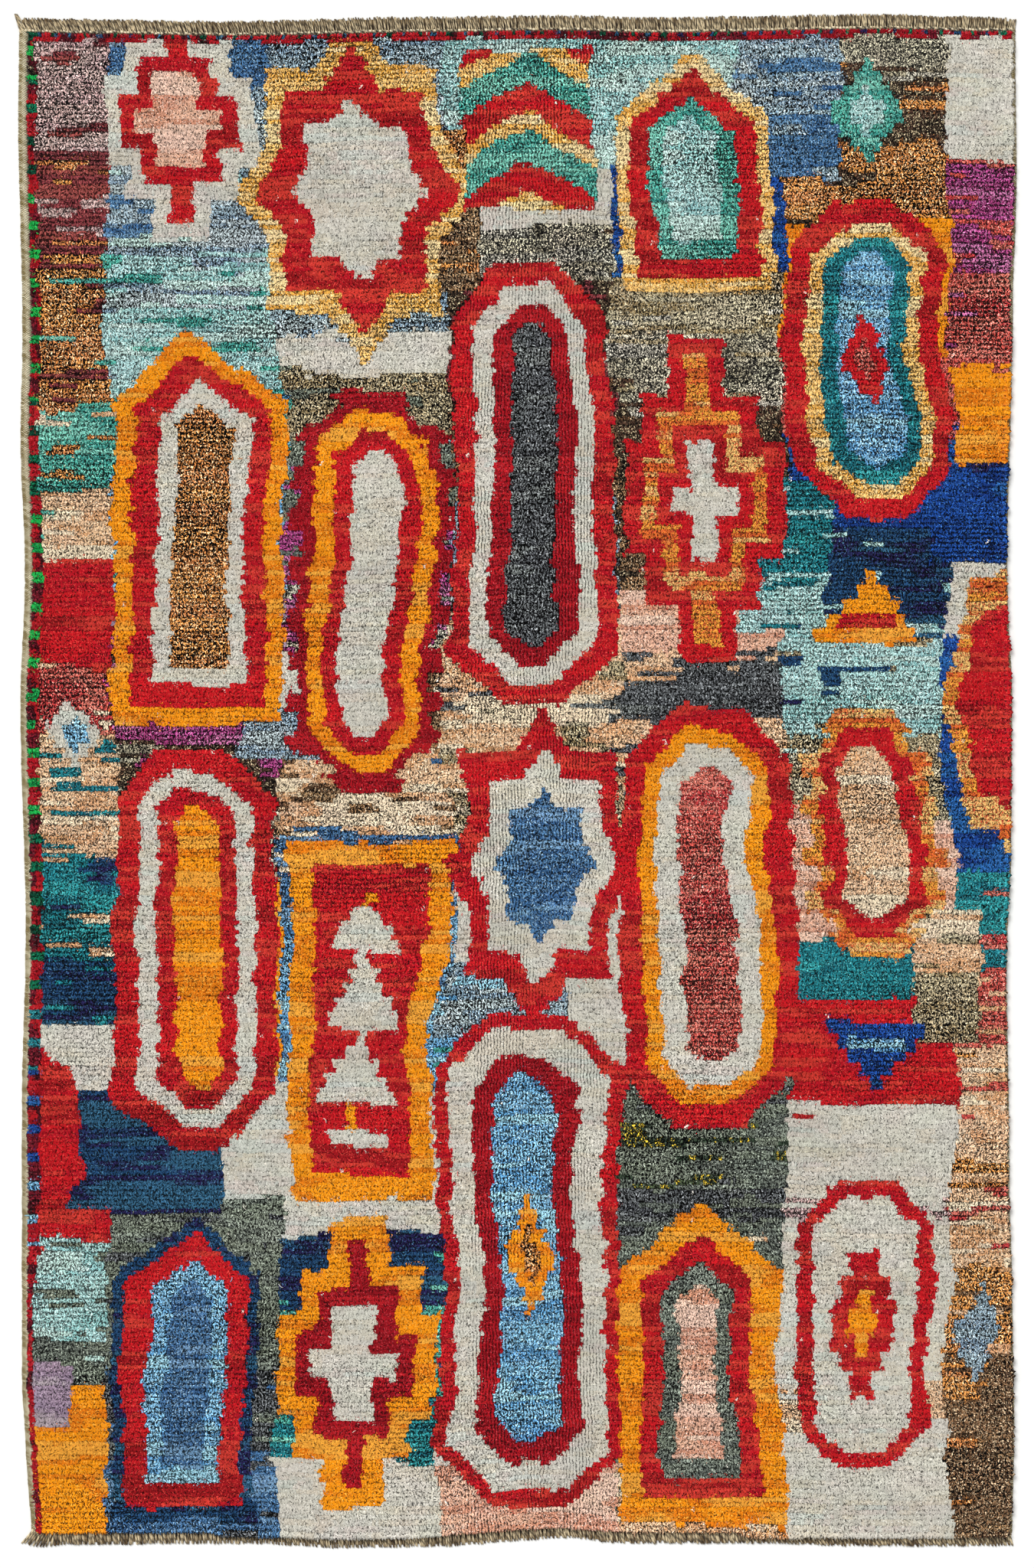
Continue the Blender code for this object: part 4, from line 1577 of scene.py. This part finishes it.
@dataclass
class KilimEndShadeBand:
    """A narrow band of dark goat hair, woven plain past the last row, that shows between the cords. Its dark
    brown is partly the yarn's own colour and partly painted shade, standing in for the shadow between and
    under the cords.

    Attributes:
        plan: the rug's outlines.
        end: which end.
        short: how far it stops short of the fringe's tips.
        height: how high it lies.
        thread: from one of its threads to the next.
        piece: the band, once it is built.
    """

    plan: Plan
    end: End
    short: float = 0.0016
    height: float = 0.0018
    thread: float = 0.0040
    piece: bpy.types.Object | None = None

    def build(self) -> "KilimEndShadeBand":
        """Build the band.

        Returns:
            The band itself.
        """
        edge, tips = self.plan.pile_ends[self.end], self.plan.tips[self.end]
        x = np.linspace(edge.along[0] - 0.012, edge.along[-1] + 0.002, 1100)
        straight = tips[4:][np.argsort(tips[4:, 0])]
        far = np.interp(x, straight[:, 0], straight[:, 1]) - self.end.value * self.short
        far = far + 0.0022 * (patches(x, x * 0, 0.006, 1.0, 37) - 0.5)
        near = edge.at(x) - self.end.value * 0.006
        rows = np.array([0.0, 0.62, 0.80, 1.0])[:, None]
        y = near * (1 - rows) + far * rows
        points = np.stack([np.broadcast_to(x, y.shape), y, np.full(y.shape, self.height)], -1)
        quads = grid_quads(4, x.size).reshape(-1, 4)
        quads = quads if self.end is End.TOP else quads[:, ::-1]
        name = f"kilim_end_shade_band_{self.end.name.lower()}"
        self.piece = mesh_object(name, points, quads, smooth=False)
        # Painted shade: the band is darkest next to the pile and lighter out towards the tips.
        fade = np.array([-0.3, -0.3, 0.35, 0.65])[:, None]
        give_value(self.piece, "tone", fade + 0.6 * patches(x, x * 0, 0.008, 1.0, 38) - 0.2)
        give_value(self.piece, "turns", np.tile(2 * x / self.thread, 4))
        return self

    def dress(self, finish: bpy.types.Material) -> None:
        """Give the band its yarn, and set it on the rug.

        Args:
            finish: its material.
        """
        self.piece.data.materials.append(finish)
        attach(self.piece, "root")
        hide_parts("fringe_top" if self.end is End.TOP else "fringe_bottom")


@dataclass
class TwinedLine:
    """The pale twined stitches that lock the last row, between the pile and the top fringe.

    Attributes:
        plan: the rug's outlines.
        pitch: from stitch to stitch.
        radius: a stitch's half width.
        height: how high its middle stands.
        seed: for every random choice.
        piece: the stitches, once they are built.
    """

    plan: Plan
    pitch: float = 0.0068
    radius: float = 0.0028
    height: float = 0.0105
    seed: int = 31
    piece: bpy.types.Object | None = None

    def build(self) -> "TwinedLine":
        """Build the stitches.

        Returns:
            The line itself.
        """
        rng = np.random.default_rng(self.seed)
        edge = self.plan.pile_ends[End.TOP]
        x0, x1 = edge.along[0] - 0.006, edge.along[-1] + 0.004
        count = round((x1 - x0) / self.pitch)
        middle = x0 + (np.arange(count) + 0.5) * self.pitch + rng.normal(0, 0.0005, count)
        k = np.linspace(-1, 1, 5)
        x = middle[:, None] - 0.0019 * k
        y = edge.at(middle)[:, None] + 0.0012 + 0.0012 * k + rng.normal(0, 0.0005, (count, 1))
        z = self.height - 0.0028 * k**2 + rng.normal(0, 0.0003, (count, 1))
        radii = self.radius * np.array([0.35, 0.95, 1.0, 0.95, 0.35]) * rng.uniform(0.85, 1.15, (count, 1))
        bundle = Threads("twined_line", np.stack([x, y, z], -1), radii, sides=5)
        self.piece = bundle.build()
        give_value(self.piece, "tone", bundle.per_thread(rng.random(count)), "FACE")
        give_value(self.piece, "turns", bundle.turns())
        return self

    def dress(self, finish: bpy.types.Material) -> None:
        """Give the stitches their yarn, and set them on the rug.

        Args:
            finish: their material.
        """
        self.piece.data.materials.append(finish)
        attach(self.piece, "root")
        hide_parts("fringe_top")


@dataclass
class OvercastSelvage:
    """A side cord, wrapped over and over with tan yarn.

    Attributes:
        plan: the rug's outlines.
        side: which side.
        pitch: from wrap to wrap, drawn wider than the real 2 mm so that it shows.
        ridge: how far a wrap stands up.
        slant: how much further along a wrap is at its inner side.
        foot: how far off the floor it lies.
        crown: height of its middle, without the wraps.
        seed: for every random choice.
        piece: the wrapped cord, once it is built.
    """

    plan: Plan
    side: Side
    pitch: float = 0.0035
    ridge: float = 0.0012
    slant: float = 0.0090
    foot: float = 0.0004
    crown: float = 0.0088
    seed: int = 13
    piece: bpy.types.Object | None = None

    def build(self) -> "OvercastSelvage":
        """Build the wrapped cord.

        Returns:
            The cord itself.
        """
        rng = np.random.default_rng(self.seed + self.side.value)
        edge = self.plan.cord_sides[self.side]
        pile = self.plan.pile_sides[self.side]
        low, high = pile.along[0] - 0.004, pile.along[-1] + 0.007
        stations = round((high - low) / self.pitch) * 3 + 1
        y = np.linspace(low, high, stations)
        w = np.array([0.0, 0.06, 0.26, 0.5, 0.74, 0.94, 1.0])
        swell = 0.0024 + 0.0012 * (patches(y, y * 0, 0.02, 1.0, 33) - 0.5)
        outer = edge.at(y) + self.side.value * swell
        inner = pile.at(y) - self.side.value * 0.004
        yy, ww = np.meshgrid(y, w, indexing="ij")
        xx = outer[:, None] * (1 - ww) + inner[:, None] * ww
        leaning = -self.side.value * self.slant * (ww - 0.5)
        phase = (yy + leaning) / self.pitch + 0.5 * (ww > 0.4) + 0.7 * patches(yy, ww, 0.010, 0.5, 35)
        wrap = np.floor(phase).astype(int)
        wrap -= wrap.min()
        ridge = self.ridge * np.abs(np.sin(math.pi * phase)) ** 0.7 - self.ridge * 0.5
        uneven = rng.normal(0, 0.0003, wrap.max() + 2)[wrap]
        arch = np.sin(math.pi * ww.clip(0.02, 0.98)) ** 0.55
        end_round = (np.minimum(yy - low, high - yy) / 0.010).clip(0.05, 1) ** 0.5
        z = self.foot + (self.crown - self.foot) * arch * end_round + (ridge + uneven) * (arch > 0.3)
        xx = xx + self.side.value * (ridge + uneven) * (ww < 0.2)
        z = np.where((ww == 0) | (ww == 1), self.foot, z)
        points = np.stack([xx, yy, z], -1)
        quads = grid_quads(stations, len(w))
        self.piece = mesh_object(f"selvage_{self.side.name.lower()}_wraps", points, quads)
        give_map(self.piece, "OFBake", self.folded_map(stations, len(w)))
        uneven_tone = 0.9 * rng.random(wrap.max() + 2)[wrap] + 0.4 * patches(yy, ww, 0.006, 0.3, 36)
        give_value(self.piece, "tone", uneven_tone - 0.55 + 0.5 * (ww > 0.4))
        give_value(self.piece, "turns", 2 * phase)
        return self

    @staticmethod
    def folded_map(stations: int, across: int, folds: int = 24) -> Array:
        """Fold the long cord's map into rows that fill a square.

        Args:
            stations: points along the cord.
            across: points across it.
            folds: how many rows there are.

        Returns:
            A place on the map for each corner of each face.
        """
        run = np.arange(stations - 1)[:, None, None]
        length = math.ceil((stations - 1) / folds)
        u = (run % length + np.array([0, 0, 1, 1])) / length
        height = (np.arange(across - 1)[:, None] + np.array([0, 1, 1, 0])) / (across - 1)
        v = run // length + 0.05 + 0.9 * height
        return np.stack(np.broadcast_arrays(u, v / folds), -1)

    def dress(self, finish: bpy.types.Material) -> None:
        """Give the cord its yarn, and set it on the rug in place of the CAD cord.

        Args:
            finish: its material.
        """
        self.piece.data.materials.append(finish)
        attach(self.piece, "root")
        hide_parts(f"selvage_{self.side.name.lower()}")


@dataclass
class StrayStrands:
    """Single strands that worked loose: bent ones on top of the pile and short ones over its edges.

    Attributes:
        cloth: the worked design.
        plan: the rug's outlines.
        top: height of the pile.
        loose: how many lie on the pile.
        seed: for every random choice.
        pieces: the two bundles, once they are built.
    """

    cloth: Cloth
    plan: Plan
    top: float
    loose: int = 110
    seed: int = 17
    pieces: list[bpy.types.Object] = field(default_factory=list)

    @staticmethod
    def tint(obj: bpy.types.Object, bundle: Threads, colours: Array) -> None:
        """Store each strand's colour on its faces."""
        opaque = np.ones((len(colours), 1))
        give_colour(obj, "wool", bundle.per_thread(np.concatenate([colours, opaque], 1)))

    def build_loose(self) -> None:
        """Lay bent strands on the pile, most of them paler than the knots under them."""
        rng = np.random.default_rng(self.seed)
        own, _ = self.cloth.colours()
        count, bends = self.loose, 6
        row = rng.integers(4, self.cloth.along - 4, count)
        column = rng.integers(4, self.cloth.across - 4, count)
        near = own[(row + rng.integers(-3, 4, count)), (column + rng.integers(-3, 4, count)), :3]
        x, y = self.plan.field_point((column + 0.5) / self.cloth.across, (row + 0.5) / self.cloth.along)
        heading = rng.normal(0, 0.5, count)[:, None] + np.cumsum(rng.normal(0, 0.45, (count, bends)), 1)
        step = rng.uniform(0.0012, 0.0026, (count, 1))
        px = x[:, None] + np.cumsum(np.cos(heading) * step, 1)
        py = y[:, None] + np.cumsum(np.sin(heading) * step, 1)
        arch = 0.0008 * np.sin(np.linspace(0, math.pi, bends))
        pz = self.top - 0.0010 + arch + rng.normal(0, 0.0002, (count, 1))
        radii = 0.00065 * np.array([0.5, 1, 1, 1, 1, 0.4]) * rng.uniform(0.8, 1.25, (count, 1))
        bundle = Threads("loose_strands", np.stack([px, py, pz], -1), radii, sides=5)
        obj = bundle.build()
        pale = rng.random((count, 1)) < 0.08
        self.tint(obj, bundle, np.where(pale, near * 0.35 + 0.5, near * 1.25).clip(0, 0.9))
        self.pieces.append(obj)

    def build_edges(self) -> None:
        """Push strands out over the sides and the bottom, in the colours of the outer knots."""
        rng = np.random.default_rng(self.seed + 1)
        own, _ = self.cloth.colours()
        rows, columns = self.cloth.along, self.cloth.across
        starts, aims, tints = [], [], []
        for side, share, least in ((Side.LEFT, 0.0, 0.0036), (Side.RIGHT, 1.0, 0.0012)):
            t = (np.arange(rows) + rng.uniform(0.2, 0.8, rows)) / rows
            x, y = self.plan.field_point(np.full(rows, share), t)
            reach = rng.gamma(2.5, 0.0006, rows) + overhang(side, y) + least
            if side is Side.LEFT:
                reach += 0.0018 * (self.cloth.wool[:, 0] != NUMBER[Wool.CRIMSON])
            starts.append(np.stack([x - side.value * 0.004, y, np.full(rows, 0.0112)], -1))
            drop = rng.normal(-0.001, 0.002, rows)
            aims.append(np.stack([side.value * reach, drop, np.full(rows, -0.0022)], -1))
            tints.append(own[:, 0 if side is Side.LEFT else -1, :3])
        count = 2 * columns
        s = (np.arange(count) / 2 + rng.uniform(0.1, 0.4, count)) / columns
        x, y = self.plan.field_point(s, np.zeros(count))
        starts.append(np.stack([x, y + 0.0056 - overhang(End.BOTTOM, x), np.full(count, 0.0110)], -1))
        reach = rng.gamma(3.0, 0.0009, count) + 0.0040
        aims.append(np.stack([rng.normal(0, 0.0012, count), -reach, np.full(count, -0.0035)], -1))
        tints.append(np.repeat(own[0, :, :3], 2, axis=0))
        start, aim, tint = np.concatenate(starts), np.concatenate(aims), np.concatenate(tints)
        k = np.linspace(0, 1, 4)[None, :, None]
        paths = start[:, None] + aim[:, None] * k
        paths[..., 2] += 0.0016 * np.sin(math.pi * k[..., 0])
        radii = 0.00150 * np.array([0.9, 1.0, 1.0, 0.62]) * rng.uniform(0.8, 1.2, (len(start), 1))
        bundle = Threads("edge_tufts", paths, radii, sides=4)
        obj = bundle.build()
        self.tint(obj, bundle, tint * rng.uniform(0.75, 1.3, (len(start), 1)))
        self.pieces.append(obj)

    def build(self) -> "StrayStrands":
        """Build all stray strands.

        Returns:
            The strands themselves.
        """
        self.build_loose()
        self.build_edges()
        return self

    def dress(self, finish: bpy.types.Material) -> None:
        """Give the strands their wool, and set them on the rug.

        Args:
            finish: their material.
        """
        for piece in self.pieces:
            piece.data.materials.append(finish)
            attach(piece, "root")


# --------------------------------------------------------------------------- the studio


@dataclass
class Studio:
    """A plain pale floor, soft light from the upper left, and a camera straight above.

    Attributes:
        box: the rug's lowest and highest corner.
        view_height: what the picture's long side takes in, at the height of the rug's top.
        view_centre: X and Y of the picture's middle.
        lens: focal length in millimetres.
        sensor: the sensor's long side in millimetres.
        sun: strength of the light from the window.
        window: how far the window's light tilts from straight down, about X and Y in degrees.
        softness: how wide the window looks, in degrees.
        sky: strength of the light from all round.
    """

    box: tuple[Sequence[float], Sequence[float]]
    view_height: float = 3.129
    view_centre: tuple[float, float] = (0.0046, -0.0076)
    lens: float = 100.0
    sensor: float = 36.0
    sun: float = 2.35
    window: tuple[float, float] = (-34.0, -24.0)
    softness: float = 28.0
    sky: float = 0.62

    def build(self) -> None:
        """Set up the floor, the lights and the camera."""
        scene = bpy.context.scene
        scene.view_settings.view_transform = "Standard"
        self.build_floor()
        world = bpy.data.worlds.new("studio")
        scene.world = world
        world.use_nodes = True
        background = world.node_tree.nodes["Background"]
        background.inputs["Color"].default_value = (1.0, 1.0, 1.0, 1.0)
        background.inputs["Strength"].default_value = self.sky
        lamp = bpy.data.lights.new("window", "SUN")
        lamp.energy = self.sun
        lamp.angle = math.radians(self.softness)
        light = bpy.data.objects.new("window", lamp)
        light.rotation_euler = (math.radians(self.window[0]), math.radians(self.window[1]), 0)
        scene.collection.objects.link(light)
        lens = bpy.data.cameras.new("overhead")
        lens.lens = self.lens
        lens.sensor_width = self.sensor
        lens.clip_end = 60.0
        camera = bpy.data.objects.new("overhead", lens)
        top = self.box[1][2]
        camera.location = (*self.view_centre, top + self.view_height * self.lens / self.sensor)
        scene.collection.objects.link(camera)
        scene.camera = camera

    def build_floor(self) -> None:
        """Lay a wide matt floor."""
        reach = 60.0  # past where any view looks
        corners = [(-1.0, -1.0, 0.0), (1.0, -1.0, 0.0), (1.0, 1.0, 0.0), (-1.0, 1.0, 0.0)]
        points = reach * np.array(corners)
        floor = mesh_object("floor", points, np.array([[0, 1, 2, 3]]))
        floor.data.materials.append(MattFloorPaint().make())


# --------------------------------------------------------------------------- putting it together


def main() -> None:
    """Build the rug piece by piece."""
    logging.basicConfig(level=logging.INFO, format="%(name)s: %(message)s")
    plan = Plan(frame["nodes"]).read()
    pile_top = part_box("pile")[1][2]
    cloth = Cloth(plan).work()

    pile = KnottedPile(cloth, plan, pile_top).build()
    pile.dress(CutPileWool().make())
    LOG.info("pile: %d by %d knots in %d strips", cloth.across, cloth.along, len(pile.pieces))

    warp = SpunYarn("warp_yarn_plied", "#E2CEA6", "#604A2C", groove=0.28, flecks=(0.45, 1.40)).make()
    wrap = SpunYarn("selvage_yarn_overcast", "#FFF3CE", "#A08C58", flecks=(0.18, 1.50)).make()
    stitch = SpunYarn("twining_yarn_pale", "#F2E4C2", "#C2AE84").make()
    # The band under the fringes gets a dark goat hair yarn, whose darkness is partly painted shade between
    # the cords.
    goat = SpunYarn("goat_hair_weave_and_painted_shade", "#A08862", "#3A2A16").make()

    ground = Foundation(plan).build()
    ground.dress(warp)
    LOG.info("foundation: %s", ground.piece.name)

    others: list[bpy.types.Object] = []
    for end in End:
        if end is End.TOP:
            shares, distances = (0.0, 0.05, 0.45, 0.72, 0.93, 0.97, 1.0), (34, 34, 52, 56, 30, 40, 75)
            reach = (shares, tuple(0.0001 * value for value in distances))
            lean = (0.0110, -0.0030)
            fringe = WarpFringe(plan, end, pitch=0.0038, radius=0.0019, lean=lean, reach=reach).build()
        else:
            fringe = WarpFringe(plan, end, pitch=0.0046, radius=0.0024).build()
        fringe.dress(warp)
        band = KilimEndShadeBand(plan, end, short=-0.0016 if end is End.TOP else 0.0024).build()
        band.dress(goat)
        others += [fringe.piece, band.piece]
        LOG.info("fringe: %s", fringe.piece.name)
    for side in Side:
        selvage = OvercastSelvage(plan, side).build()
        selvage.dress(wrap)
        others.append(selvage.piece)
        LOG.info("selvage: %s", selvage.piece.name)
    line = TwinedLine(plan).build()
    line.dress(stitch)
    others.append(line.piece)
    strays = StrayStrands(cloth, plan, pile_top).build()
    strays.dress(SingleStrandWool().make())
    others += strays.pieces
    LOG.info("twined line and %d bundles of stray strands", len(strays.pieces))

    Studio(CAD_BOX).build()
    triangles = sum(2 * len(o.data.polygons) for o in pile.pieces + others + [ground.piece])
    LOG.info("triangles in all: %d", triangles)


if __name__ == "__main__":
    main()
